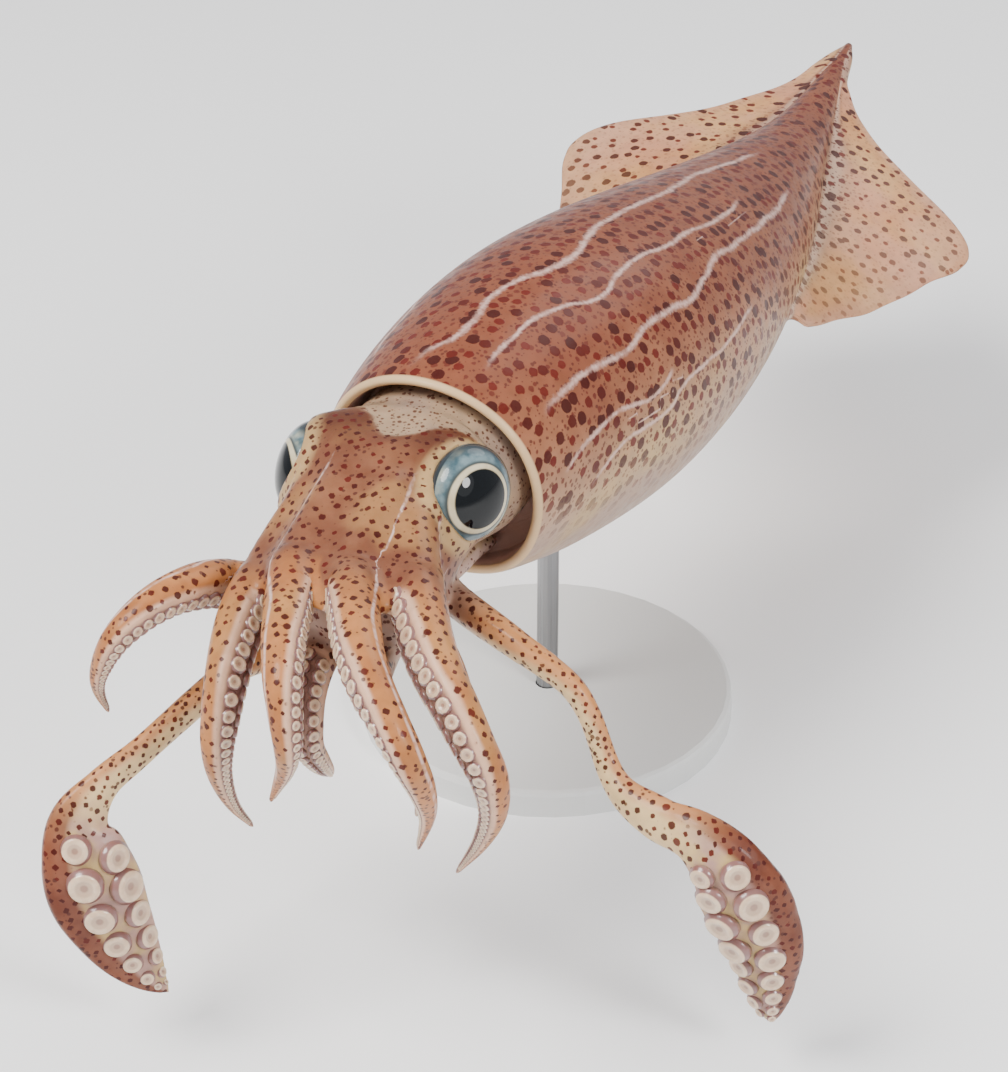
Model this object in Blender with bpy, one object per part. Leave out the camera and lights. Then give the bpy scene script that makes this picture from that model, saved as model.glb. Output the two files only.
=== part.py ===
"""A veined squid, life size, held on a plain display stand.

The mantle points toward +Y, the head toward -Y, the animal's left side toward +X. Sizes below
are millimetres on the body's own axes: zero is the middle of the mantle's front rim. PLACE
carries them to the part's frame, whose zero is under the middle of the stand's base.
"""

import math
import random

import bmesh
import bpy
import numpy as np
from mathutils import Matrix, Vector

MM = 0.001
GAP = 0.3
SLIVER = 0.02
CURVE_STEPS = 24
LENGTH_SAMPLES = 200
SHARP_ANGLE = math.radians(40.0)
AXIS_HEIGHT = 112.0
RIM_TO_STAND = 70.0
PLACE = Vector((0.0, -RIM_TO_STAND, AXIS_HEIGHT))

# Mantle: a long cone, fullest in its front third, that bows a little down and to the left.
MANTLE_LENGTH = 300.0
MANTLE_SIDES = 28
MANTLE_BOW = 8.5
MANTLE_SAG = 10.0
BOW_SHAPE = 1.3
MANTLE_RADIUS = [
    (0.0, 29.8), (5.0, 31.0), (20.0, 34.2), (42.0, 37.6), (70.0, 39.5), (100.0, 38.0),
    (130.0, 34.0), (160.0, 28.3), (190.0, 21.6), (215.0, 15.4), (240.0, 9.9), (265.0, 5.8),
    (285.0, 3.0), (300.0, 0.9),
]
MANTLE_STATIONS = 19
RIM_LIP = [(0.7, 29.7), (-0.3, 28.8), (0.1, 27.7), (2.0, 27.2)]
POCKET_DEPTH = 14.0
POCKET_RADIUS = 26.4
RIM_LOBE = 3.0
RIM_NOTCH = 7.0
RIM_FADE = 28.0
RIM_WAVE_POWER = 3
RIM_FLARE = 3.5
STATION_EASE = 0.85

# Fins: one thin sheet a side, joined along the mantle's flank from mid length to the tail.
FIN_FRONT = 136.0
FIN_BACK = 297.0
FIN_MARGIN = [
    (30.0, 141.0), (40.5, 152.0), (47.0, 168.0), (53.5, 189.0), (59.5, 208.0), (65.0, 222.5),
    (65.5, 230.0), (61.5, 236.5), (55.0, 241.0), (43.0, 246.0), (30.5, 252.0), (19.5, 261.0),
    (9.5, 274.0), (2.5, 296.0),
]
FIN_DROOP = {"left": 21.0, "right": 8.0}
FIN_WAVE = {"left": 6.5, "right": 21.0}
FIN_WAVE_ALONG = 182.0
FIN_WAVE_REACH = 30.0
FIN_SPAN = 65.0
FIN_ROOT_THICK = 3.4
FIN_EDGE_THICK = 0.9
FIN_ROOT_SHARE = 0.62
FIN_ROOT_LEAST = 0.3
FIN_DROOP_POWER = 1.5
FIN_THINNING = 1.3
FIN_ROWS = 18
FIN_COLUMNS = 5

# Head: (along Y, middle across, half width, top, widest level, bottom)
HEAD_STATIONS = [
    (14.0, 0.0, 23.6, 24.0, 2.0, -16.5),
    (2.0, -0.3, 24.0, 24.2, 2.0, -16.8),
    (-7.0, -1.5, 22.8, 23.0, 4.0, -17.2),
    (-15.0, -2.5, 23.6, 24.0, 5.0, -18.5),
    (-24.0, -2.5, 23.6, 23.2, 3.0, -21.5),
    (-33.0, -2.0, 22.6, 18.8, -2.0, -25.5),
    (-40.0, -1.3, 20.6, 12.8, -7.0, -27.5),
    (-45.0, -0.8, 16.0, 6.0, -9.0, -24.0),
    (-48.0, -0.5, 10.0, -1.5, -9.5, -18.0),
    (-50.0, -0.5, 4.5, -6.0, -10.0, -14.0),
]
HEAD_SIDES = 24
HEAD_ROWS = 14
BROW_SWELL = 3.4
BROW_ALONG = -15.0
BROW_REACH = 9.0
BROW_ANGLE = math.radians(50.0)
BROW_SPREAD = math.radians(22.0)
CROWN_DIP = 1.8

# Eyes: flattened balls that look outward, a little forward and up.
EYE_RADIUS = 11.6
EYE_HALF_DEPTH = 7.2
EYE_PLACE = {"left": (19.5, -18.3, 11.9), "right": (-24.5, -18.3, 7.6)}
EYE_OUT = 0.92
EYE_FORWARD = -0.31
EYE_UP = 0.25
EYE_SEGMENTS = 16
EYE_RINGS = 10

# Funnel: the flattened spout under the neck. (along Y, height, half width, half height)
FUNNEL_STATIONS = [
    (11.0, -20.8, 12.5, 4.2), (4.0, -21.2, 12.0, 4.4), (-3.0, -21.9, 10.5, 4.8),
    (-10.0, -24.0, 8.5, 5.4), (-16.0, -27.0, 7.0, 5.0), (-20.0, -29.6, 6.0, 4.3),
]
FUNNEL_SIDES = 16
FUNNEL_BORE = [(0.6, 0.66), (3.0, 0.6), (7.0, 0.5)]

# Arms: the middle line from inside the head to the tip, and the way the sucker side faces at
# the root, the middle and the tip. The muscle of an arm runs back under the head's skin and
# raises a ridge there; its ridge points lead to the arm's own line.
RIDGE_EASE = 0.03
RIDGE_SEGMENTS = 5
ROOT_FLARE = 0.14
ARM_TIP_WIDTH = 0.9
ARM_SIDES = 10
ARM_SEGMENTS = 15
ARM_SPLIT = 0.48
ORAL_DEPTH_SHARE = 0.36
BACK_DEPTH_SHARE = 0.52
ARM_BODY_TAPER = 0.06
ARM_TAPER_FROM = 0.34
ARM_TAPER_STRAIGHT = 0.25
ARM_TAPER_POWER = 1.6
LINE_STEP = 0.004
ARMS = {
    "left_1": {
        "ridge": [(2.2, -19, 14.2), (4.4, -28, 14.7), (5.8, -38, 12.2), (6.6, -47, 9.4)],
        "joins": 0.17,
        "bare": 0.22,
        "width": 12.2,
        "line": [(5.5, -38, 2), (6.4, -48, 5.5), (8.5, -58, 7.5), (16.5, -72, 8.2), (24, -84, 8),
                 (31, -92, 6), (38, -97, 1.5), (43, -98, -6), (43.8, -93, -17),
                 (41.5, -86, -30), (36, -80, -45.5)],
        "oral": [(-0.6, -0.4, -0.6), (-0.8, -0.45, -0.1), (-0.85, -0.4, 0.0)],
    },
    "right_1": {
        "ridge": [(-5.6, -19, 14.2), (-6.2, -28, 14.6), (-6.5, -38, 11.9), (-6.4, -45.5, 9)],
        "joins": 0.19,
        "bare": 0.22,
        "width": 11.8,
        "line": [(-5.6, -38, 2), (-6.3, -48, 6), (-5.4, -57, 7.1), (-1.5, -67, 6.4), (2.5, -76, 6),
                 (6.5, -85, 5), (10.5, -93, 2), (13, -97, -5), (13.2, -97, -13),
                 (10, -93, -22), (5.5, -89.5, -31), (1.9, -87, -38)],
        "oral": [(0.6, -0.1, -0.7), (0.95, 0.15, -0.1), (0.95, 0.2, 0.1)],
    },
    "left_2": {
        "ridge": [(8, -21, 13), (10.2, -30, 10.4), (13.6, -38, 8.8), (17.2, -44.3, 7)],
        "joins": 0.17,
        "bare": 0.20,
        "width": 12.8,
        "line": [(13, -36, 0), (17.5, -43, 3.2), (21, -51, 6), (26, -59, 5.5), (32, -67, 3),
                 (38.5, -74, 0), (45.5, -79.5, -3.5), (51.5, -82.5, -10), (55, -82, -18),
                 (54, -78, -30), (48.8, -73.5, -43.5), (40.7, -70, -57.8)],
        "oral": [(-0.5, -0.6, -0.3), (-0.45, -0.75, 0.15), (-0.6, -0.7, 0.2)],
    },
    "right_2": {
        "ridge": [(-10.5, -21, 12.6), (-13.8, -30, 9.8), (-15.4, -38, 4.6), (-16.4, -44, 0.9)],
        "joins": 0.19,
        "bare": 0.20,
        "width": 12.2,
        "line": [(-13, -36, -4.5), (-16.6, -45.5, -2.2), (-16.6, -56, -2.6), (-15.4, -66, -5),
                 (-13, -75, -8), (-11, -82, -12), (-10.4, -86, -18), (-11.2, -87, -26),
                 (-13, -84, -37), (-13.3, -79, -49), (-11, -74, -58.6)],
        "oral": [(0.7, -0.2, -0.5), (0.9, 0.0, 0.25), (0.95, 0.0, 0.2)],
    },
    "left_3": {
        "ridge": [(12, -24, -3.5), (13.6, -30, -5.6), (15.4, -36, -8)],
        "joins": 0.24,
        "bare": 0.20,
        "width": 12.2,
        "line": [(11, -30, -9), (14.5, -37, -10), (20, -46, -9.3), (27, -55, -8.6),
                 (34, -62.5, -9), (40, -68, -13), (45, -70, -20), (46.5, -68, -29),
                 (45, -63, -41), (42, -58.5, -54)],
        "oral": [(-0.3, -0.5, -0.8), (-0.7, -0.1, -0.7), (-0.95, 0.0, 0.1)],
    },
    "right_3": {
        "ridge": [(-16, -24, -7.5), (-18.6, -30, -10), (-20.6, -35.5, -12.8)],
        "joins": 0.26,
        "bare": 0.20,
        "width": 12.2,
        "line": [(-14, -29, -14), (-20.5, -37, -15.5), (-26.5, -47, -10.5), (-30, -58, -5),
                 (-33, -68, -2.8), (-36, -76, -3.6), (-39.8, -82, -8), (-44.2, -83, -16.7),
                 (-46.9, -81, -25), (-46.6, -78, -33.5)],
        "oral": [(0.3, -0.5, -0.8), (0.5, -0.4, -0.7), (0.95, 0.1, 0.1)],
    },
    "left_4": {
        "bare": 0.24,
        "width": 10.6,
        "line": [(5.5, -33, -20), (6.5, -42, -22.5), (9, -51, -22.5), (14, -60, -21),
                 (20, -66, -21.5), (25, -68, -26.5), (27.5, -66, -35), (27, -61, -46),
                 (24, -57, -56)],
        "oral": [(-0.2, -0.3, 0.9), (-0.5, -0.8, 0.2), (-0.6, -0.8, 0.0)],
    },
    "right_4": {
        "bare": 0.24,
        "width": 9.9,
        "line": [(-6.2, -33, -19.8), (-6.2, -42, -22.2), (-5.9, -50, -24.7), (-4.5, -57, -28.5),
                 (-3, -61, -34.5), (-3, -60, -42), (-3.8, -54, -50.5), (-6, -46, -59),
                 (-9.5, -38, -67)],
        "oral": [(0.3, -0.4, 0.9), (0.4, -0.85, 0.4), (0.3, -0.9, 0.2)],
    },
}

# Tentacles: the middle line, then widths as (share of the length, width).
TENTACLE_SIDES = 10
TENTACLES = {
    "left": {
        "bare": 0.66,
        "line": [(9, -20, -12), (19, -27, -13), (26.5, -32.5, -12), (40.9, -38, -13.6),
                 (54.9, -40, -18.6), (61, -41, -25), (64.4, -42, -31.8), (68, -44, -37.5),
                 (73.4, -47, -40.6), (83.5, -50, -42.4), (92.5, -52, -42.3), (100, -53, -46.5),
                 (104.3, -52, -54), (107.3, -50, -62.6), (109.4, -48, -71), (109.9, -46, -81),
                 (110.3, -44, -90), (110.3, -42, -100)],
        "width": [(0.0, 9.5), (0.2, 8.8), (0.31, 6.8), (0.4, 6.0), (0.46, 6.8), (0.53, 10.5),
                  (0.6, 12.5), (0.66, 17.0), (0.72, 21.5), (0.79, 21.0), (0.86, 17.5),
                  (0.92, 12.5), (0.965, 7.0), (1.0, 1.0)],
        "flat": [(0.0, 0.86), (0.5, 0.8), (0.68, 0.42), (0.9, 0.42), (1.0, 0.8)],
        "oral": [(-0.4, -0.4, -0.8), (0.16, -0.85, 0.3), (0.16, -0.81, 0.5)],
    },
    "right": {
        "bare": 0.665,
        "line": [(-9.6, -26, -20.5), (-17.0, -36, -27.6), (-20.2, -46, -29.2), (-22.5, -58, -26.5),
                 (-27.1, -70, -29.7), (-34.1, -85, -36.6), (-38.8, -94.5, -41),
                 (-41.5, -101, -47.9), (-39, -104, -56), (-35.9, -104, -67.5),
                 (-31.7, -101, -81.9), (-27.6, -98, -92), (-23.9, -96, -97.5)],
        "width": [(0.0, 8.8), (0.3, 8.0), (0.5, 7.2), (0.56, 8.5), (0.61, 13.0), (0.67, 19.5),
                  (0.74, 22.8), (0.82, 20.0), (0.89, 15.5), (0.95, 9.0), (1.0, 1.0)],
        "flat": [(0.0, 0.86), (0.54, 0.8), (0.66, 0.42), (0.9, 0.42), (1.0, 0.8)],
        "oral": [(0.3, -0.4, -0.8), (0.5, -0.6, 0.1), (0.62, -0.6, 0.5)],
    },
}
TENTACLE_SEGMENTS = 30
TENTACLE_SPLITS = [0.3, 0.57]
TENTACLE_ORAL_DEPTH = 0.45
TENTACLE_BACK_DEPTH = 0.55

# Suckers: two rows a limb, each a short cup with a rim wider than its root. Sizes are shares of
# the limb's width there; varied gives the random part of each cup's size.
ARM_SUCKER = {"sides": 6, "radius": 0.21, "least": 0.55, "height": 0.15, "sink": 0.13,
              "row": 0.25, "pitch": 0.62, "spare": 4.3, "last": 0.945, "varied": 0.08}
CLUB_SUCKER = {"sides": 8, "radius": 0.16, "least": 0.8, "height": 0.09, "sink": 0.07,
               "row": 0.2, "pitch": 0.36, "spare": 2.0, "last": 0.955, "varied": 0.06}
SUCKER_LEAST_HEIGHT = 0.5
SUCKER_LEAST_SINK = 0.2
SUCKER_SINK_LIMIT = 0.8
SUCKER_ROOT_SHARE = 0.74
SUCKER_DISH_SHARE = 0.5
CLUB_RIM_SHARE = 0.62
SUCKER_SEED = 7

# Stand: a round base and one rod that stands in the base and in the belly.
BASE_RADIUS = 52.0
BASE_THICK = 8.0
BASE_BEVEL = 1.5
ROD_RADIUS = 3.0
ROD_IN_BASE = 5.0
ROD_IN_BELLY = 5.0
ROUND_SIDES = 40
ROD_SIDES = 16
CUT_BEYOND = 5.0


def clear_scene():
    for item in list(bpy.data.objects):
        bpy.data.objects.remove(item, do_unlink=True)


def make_material(name, colour, roughness, metallic=0.0):
    material = bpy.data.materials.new(name)
    material.use_nodes = True
    shader = material.node_tree.nodes["Principled BSDF"]
    shader.inputs["Base Color"].default_value = (*colour, 1.0)
    shader.inputs["Roughness"].default_value = roughness
    shader.inputs["Metallic"].default_value = metallic
    return material


def smooth_line(points, samples):
    """Even samples of a smooth curve through the points, one row each."""
    points = np.array(points, float)
    ends = np.vstack([2 * points[0] - points[1], points, 2 * points[-1] - points[-2]])
    dense = []
    for i in range(1, len(ends) - 2):
        before, start, end, after = ends[i - 1:i + 3]
        for t in np.linspace(0.0, 1.0, CURVE_STEPS, endpoint=False):
            dense.append(0.5 * (2 * start + (end - before) * t
                                + (2 * before - 5 * start + 4 * end - after) * t ** 2
                                + (3 * start - before - 3 * end + after) * t ** 3))
    dense.append(points[-1])
    dense = np.array(dense)
    travelled = np.concatenate([[0.0], np.cumsum(np.linalg.norm(np.diff(dense, axis=0), axis=1))])
    wanted = np.asarray(samples) * travelled[-1]
    return np.stack([np.interp(wanted, travelled, dense[:, k]) for k in range(3)], axis=1)


def line_length(points):
    line = smooth_line(points, np.linspace(0.0, 1.0, LENGTH_SAMPLES))
    return float(np.linalg.norm(np.diff(line, axis=0), axis=1).sum())


def smooth_value(pairs, at):
    """A smooth value through (place, value) pairs."""
    places = [pair[0] for pair in pairs]
    values = [pair[1] for pair in pairs]
    slopes = np.gradient(values, places)
    i = int(np.clip(np.searchsorted(places, at) - 1, 0, len(places) - 2))
    width = places[i + 1] - places[i]
    t = min(max((at - places[i]) / width, 0.0), 1.0)
    return ((2 * t ** 3 - 3 * t ** 2 + 1) * values[i] + (t ** 3 - 2 * t ** 2 + t) * width * slopes[i]
            + (3 * t ** 2 - 2 * t ** 3) * values[i + 1] + (t ** 3 - t ** 2) * width * slopes[i + 1])


def loft(rings):
    """A closed surface through rings of points, with its first and last ring filled."""
    bm = bmesh.new()
    loops = []
    for ring in rings:
        verts = [bm.verts.new((Vector(spot) + PLACE) * MM) for spot in ring]
        loops.append([bm.edges.new((a, b)) for a, b in zip(verts, verts[1:] + verts[:1])])
    for first, second in zip(loops, loops[1:]):
        bmesh.ops.bridge_loops(bm, edges=first + second)
    bmesh.ops.contextual_create(bm, geom=loops[0])
    bmesh.ops.contextual_create(bm, geom=loops[-1])
    return bm


def finish_solid(name, bm, material=None):
    bmesh.ops.triangulate(bm, faces=bm.faces)
    bmesh.ops.recalc_face_normals(bm, faces=bm.faces)
    mesh = bpy.data.meshes.new(name)
    bm.to_mesh(mesh)
    bm.free()
    if material:
        mesh.materials.append(material)
    mesh.shade_smooth()
    mesh.set_sharp_from_angle(angle=SHARP_ANGLE)
    solid = bpy.data.objects.new(name, mesh)
    bpy.context.collection.objects.link(solid)
    return solid


def keep_largest(mesh):
    """Clears slivers from a mesh and leaves only its largest closed surface."""
    bm = bmesh.new()
    bm.from_mesh(mesh)
    bmesh.ops.dissolve_degenerate(bm, dist=SLIVER * MM, edges=bm.edges)
    bmesh.ops.triangulate(bm, faces=bm.faces)
    bm.faces.ensure_lookup_table()
    unseen = set(bm.faces)
    pieces = []
    while unseen:
        piece = {unseen.pop()}
        edge_of_search = list(piece)
        while edge_of_search:
            face = edge_of_search.pop()
            for edge in face.edges:
                for other in edge.link_faces:
                    if other in unseen:
                        unseen.discard(other)
                        piece.add(other)
                        edge_of_search.append(other)
        pieces.append(piece)
    pieces.sort(key=lambda piece: sum(face.calc_area() for face in piece))
    for piece in pieces[:-1]:
        bmesh.ops.delete(bm, geom=list(piece), context="FACES")
    bm.to_mesh(mesh)
    bm.free()


def combine(solid, others, operation, solver="EXACT"):
    """One Boolean of the solid with a collection of others, applied, with the others removed."""
    helpers = bpy.data.collections.new(solid.name + "_pieces")
    bpy.context.scene.collection.children.link(helpers)
    for other in others:
        bpy.context.collection.objects.unlink(other)
        helpers.objects.link(other)
    modifier = solid.modifiers.new(operation.lower(), "BOOLEAN")
    modifier.operation = operation
    modifier.solver = solver
    modifier.operand_type = "COLLECTION"
    modifier.collection = helpers
    bpy.context.view_layer.update()
    shaped = bpy.data.meshes.new_from_object(
        solid.evaluated_get(bpy.context.evaluated_depsgraph_get()))
    solid.modifiers.clear()
    solid.data = shaped
    shaped.name = solid.name
    keep_largest(shaped)
    for other in others:
        bpy.data.objects.remove(other, do_unlink=True)
    bpy.data.collections.remove(helpers)


def mantle_middle(along):
    """The middle of the mantle across and in height, at a distance behind the rim."""
    bow = math.sin(math.pi * min(max(along / MANTLE_LENGTH, 0.0), 1.0) ** BOW_SHAPE)
    return MANTLE_BOW * bow, -MANTLE_SAG * bow


def mantle_ring(along, radius, lobed=True):
    across, height = mantle_middle(along)
    ring = []
    for i in range(MANTLE_SIDES):
        angle = 2 * math.pi * i / MANTLE_SIDES
        shift = 0.0
        if lobed and along < RIM_FADE:
            top = max(math.cos(angle), 0.0) ** RIM_WAVE_POWER
            under = max(-math.cos(angle), 0.0) ** RIM_WAVE_POWER
            shift = (RIM_NOTCH * under - RIM_LOBE * top) * (1.0 - along / RIM_FADE)
        ring.append((across + radius * math.sin(angle), along + shift,
                     height + radius * math.cos(angle)))
    return ring


def mantle_rings(extra):
    """The outer rings from the tail tip to the front, grown by extra all round."""
    rings = []
    for i in range(MANTLE_STATIONS + 1):
        share = i / MANTLE_STATIONS
        along = MANTLE_LENGTH * (1.0 - share ** STATION_EASE)
        rings.append(mantle_ring(along, smooth_value(MANTLE_RADIUS, along) + extra))
    return rings


def make_mantle(material, rod):
    rings = mantle_rings(0.0)[:-1]
    rings.append(mantle_ring(RIM_FLARE, smooth_value(MANTLE_RADIUS, RIM_FLARE)))
    rings += [mantle_ring(along, radius) for along, radius in RIM_LIP]
    rings.append(mantle_ring(POCKET_DEPTH + GAP, POCKET_RADIUS, lobed=False))
    mantle = finish_solid("mantle", loft(rings), material)
    combine(mantle, [rod], "DIFFERENCE")
    return mantle


def make_fin(side, material):
    sign = 1.0 if side == "left" else -1.0
    shares = np.linspace(0.0, 1.0, FIN_ROWS + 1)
    margin = smooth_line([(x, y, 0.0) for x, y in FIN_MARGIN], shares)
    top, under = [], []
    for share, edge in zip(shares, margin):
        root_along = FIN_FRONT + (FIN_BACK - FIN_FRONT) * share
        middle, level = mantle_middle(root_along)
        root_reach = max(FIN_ROOT_SHARE * smooth_value(MANTLE_RADIUS, root_along),
                         FIN_ROOT_LEAST)
        edge_level = mantle_middle(edge[1])[1]
        row_top, row_under = [], []
        for j in range(FIN_COLUMNS + 1):
            out = j / FIN_COLUMNS
            reach = root_reach + (edge[0] - root_reach) * out
            along = root_along + (edge[1] - root_along) * out
            across = middle * (1.0 - out) + sign * reach
            wave = FIN_WAVE[side] * math.exp(-((along - FIN_WAVE_ALONG) / FIN_WAVE_REACH) ** 2)
            droop = (FIN_DROOP[side] + wave) * (reach / FIN_SPAN) ** FIN_DROOP_POWER
            height = level + (edge_level - level) * out - droop
            thin = min(FIN_THINNING * out, 1.0)
            thick = FIN_ROOT_THICK + (FIN_EDGE_THICK - FIN_ROOT_THICK) * thin
            row_top.append((across, along, height + thick / 2))
            row_under.append((across, along, height - thick / 2))
        top.append(row_top)
        under.append(row_under)
    bm = bmesh.new()
    grid_top = [[bm.verts.new((Vector(p) + PLACE) * MM) for p in row] for row in top]
    grid_under = [[bm.verts.new((Vector(p) + PLACE) * MM) for p in row] for row in under]
    for i in range(FIN_ROWS):
        for j in range(FIN_COLUMNS):
            for grid in (grid_top, grid_under):
                a, b = grid[i][j], grid[i + 1][j]
                c, d = grid[i + 1][j + 1], grid[i][j + 1]
                bm.faces.new((a, b, c))
                bm.faces.new((a, c, d))
    border = [(i, 0) for i in range(FIN_ROWS)] + [(FIN_ROWS, j) for j in range(FIN_COLUMNS)]
    border += [(i, FIN_COLUMNS) for i in range(FIN_ROWS, 0, -1)]
    border += [(0, j) for j in range(FIN_COLUMNS, 0, -1)]
    for (i, j), (m, n) in zip(border, border[1:] + border[:1]):
        bm.faces.new((grid_top[i][j], grid_top[m][n], grid_under[m][n], grid_under[i][j]))
    fin = finish_solid("fin_" + side, bm, material)
    combine(fin, [finish_solid("mantle_space", loft(mantle_rings(GAP)))], "DIFFERENCE",
            "MANIFOLD")
    return fin


def head_ring(along, extra):
    row = [smooth_value([(-s[0], s[k]) for s in HEAD_STATIONS], -along) for k in range(1, 6)]
    middle, half_width, top, level, bottom = row
    ring = []
    for i in range(HEAD_SIDES):
        angle = 2 * math.pi * i / HEAD_SIDES
        from_brow = abs(abs((angle + math.pi) % (2 * math.pi) - math.pi) - BROW_ANGLE)
        from_top = min(angle, 2 * math.pi - angle)
        swell = math.exp(-((along - BROW_ALONG) / BROW_REACH) ** 2) * (
            BROW_SWELL * math.exp(-(from_brow / BROW_SPREAD) ** 2)
            - CROWN_DIP * math.exp(-(from_top / BROW_SPREAD) ** 2))
        tall = top - level if math.cos(angle) > 0 else level - bottom
        ring.append((middle + (half_width + swell + extra) * math.sin(angle), along,
                     level + (tall + swell + extra) * math.cos(angle)))
    return ring


def head_rings(extra):
    front, back = HEAD_STATIONS[-1][0] - extra, HEAD_STATIONS[0][0] + extra
    return [head_ring(back + (front - back) * i / HEAD_ROWS, extra) for i in range(HEAD_ROWS + 1)]


def make_eye(name, side, extra, material=None):
    sign = 1.0 if side == "left" else -1.0
    out = Vector((sign * EYE_OUT, EYE_FORWARD, EYE_UP)).normalized()
    turn = out.to_track_quat("Z", "Y").to_matrix().to_4x4()
    across = (EYE_RADIUS + extra) * MM
    size = Matrix.Diagonal((across, across, (EYE_HALF_DEPTH + extra) * MM, 1.0))
    place = Matrix.Translation((Vector(EYE_PLACE[side]) + PLACE) * MM)
    bm = bmesh.new()
    bmesh.ops.create_uvsphere(bm, u_segments=EYE_SEGMENTS, v_segments=EYE_RINGS, radius=1.0,
                              matrix=place @ turn @ size)
    return finish_solid(name, bm, material)


def make_ridge(which, extra):
    """The raised start of an arm on the head, grown by extra all round."""
    arm = ARMS[which]
    end = arm["joins"] + extra / line_length(arm["line"])
    line = np.vstack([arm["ridge"],
                      smooth_line(arm["line"], np.array([arm["joins"] - RIDGE_EASE, end]))])
    frames = limb_frames(line, [arm["oral"][0]] * 3, np.linspace(0.0, 1.0, RIDGE_SEGMENTS + 1))
    frames[-1] = limb_frames(arm["line"], arm["oral"], np.array([end]))[0]
    width = arm_width(arm["width"], end)
    rings = [limb_ring(frame, width + 2 * extra, ORAL_DEPTH_SHARE * width + extra,
                       BACK_DEPTH_SHARE * width + extra, ARM_SIDES) for frame in frames]
    return finish_solid("ridge_" + which, loft(rings))


def head_solid(name, extra, material=None):
    head = finish_solid(name, loft(head_rings(extra)), material)
    combine(head, [make_ridge(which, extra) for which in ARMS if "ridge" in ARMS[which]],
            "UNION", "MANIFOLD")
    return head


def make_head(material):
    head = head_solid("head", 0.0, material)
    sockets = [make_eye("socket_" + side, side, GAP) for side in ("left", "right")]
    combine(head, sockets, "DIFFERENCE", "MANIFOLD")
    return head


def head_space():
    return head_solid("head_space", GAP)


def make_funnel(material):
    def ring(along, height, half_width, half_height):
        return [(half_width * math.sin(2 * math.pi * i / FUNNEL_SIDES), along,
                 height + half_height * math.cos(2 * math.pi * i / FUNNEL_SIDES))
                for i in range(FUNNEL_SIDES)]

    rings = [ring(*station) for station in FUNNEL_STATIONS]
    mouth, _, half_width, half_height = FUNNEL_STATIONS[-1]
    levels = [station[:2] for station in reversed(FUNNEL_STATIONS)]
    for depth, share in FUNNEL_BORE:
        rings.append(ring(mouth + depth, smooth_value(levels, mouth + depth),
                          half_width * share, half_height * share))
    funnel = finish_solid("funnel", loft(rings), material)
    combine(funnel, [head_space()], "DIFFERENCE", "MANIFOLD")
    return funnel


def limb_frames(line, oral, shares):
    """Middle, side, oral direction and forward direction at each share of the length."""
    middles = smooth_line(line, shares)
    ahead = smooth_line(line, np.clip(shares + LINE_STEP, 0.0, 1.0))
    behind = smooth_line(line, np.clip(shares - LINE_STEP, 0.0, 1.0))
    oral = np.array(oral, float)
    frames = []
    for share, middle, a, b in zip(shares, middles, ahead, behind):
        forward = Vector(a - b).normalized()
        wish = Vector([np.interp(share, [0.0, 0.5, 1.0], oral[:, k]) for k in range(3)])
        side = wish.cross(forward).normalized()
        frames.append((Vector(middle), side, forward.cross(side).normalized(), forward))
    return frames


def arm_width(full, share):
    flare = ROOT_FLARE * max(1.0 - share / ARM_TAPER_FROM, 0.0)
    body = full * (1.0 + flare - ARM_BODY_TAPER * share)
    taper = min(max((share - ARM_TAPER_FROM) / (1.0 - ARM_TAPER_FROM), 0.0), 1.0)
    bent = (1.0 - ARM_TAPER_STRAIGHT) * taper ** ARM_TAPER_POWER
    return body + (ARM_TIP_WIDTH - body) * (ARM_TAPER_STRAIGHT * taper + bent)


def limb_ring(frame, width, oral_depth, back_depth, sides):
    middle, side, facing, forward = frame
    ring = []
    for i in range(sides):
        angle = 2 * math.pi * (i + 0.5) / sides
        lift = math.cos(angle)
        depth = oral_depth if lift > 0 else back_depth
        ring.append(middle + side * (width / 2 * math.sin(angle)) + facing * (depth * lift))
    return ring


def make_sucker(name, place, outward, across, radius, height, sink, sides, rimmed):
    """One closed cup: a cone that widens to its rim, with a dished top."""
    bm = bmesh.new()
    turn = Matrix((across, outward.cross(across), outward)).transposed().to_4x4()
    middle = place + outward * (0.5 * (height - sink))
    bmesh.ops.create_cone(bm, cap_ends=True, segments=sides,
                          radius1=radius * SUCKER_ROOT_SHARE * MM, radius2=radius * MM,
                          depth=(height + sink) * MM,
                          matrix=Matrix.Translation((middle + PLACE) * MM) @ turn)
    bm.faces.ensure_lookup_table()
    top = max(bm.faces, key=lambda face: face.normal.dot(outward))
    if rimmed:
        bmesh.ops.inset_region(bm, faces=[top], thickness=radius * (1.0 - CLUB_RIM_SHARE) * MM)
    bmesh.ops.poke(bm, faces=[top], offset=-SUCKER_DISH_SHARE * height * MM)
    return finish_solid(name, bm)


def sucker_shares(form, first, width_at, length):
    """Shares of the length at which cups stand, closer together as the limb narrows."""
    share = first
    while share < form["last"]:
        yield share
        share += (form["pitch"] * width_at(share) + form["spare"]) / length


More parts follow.
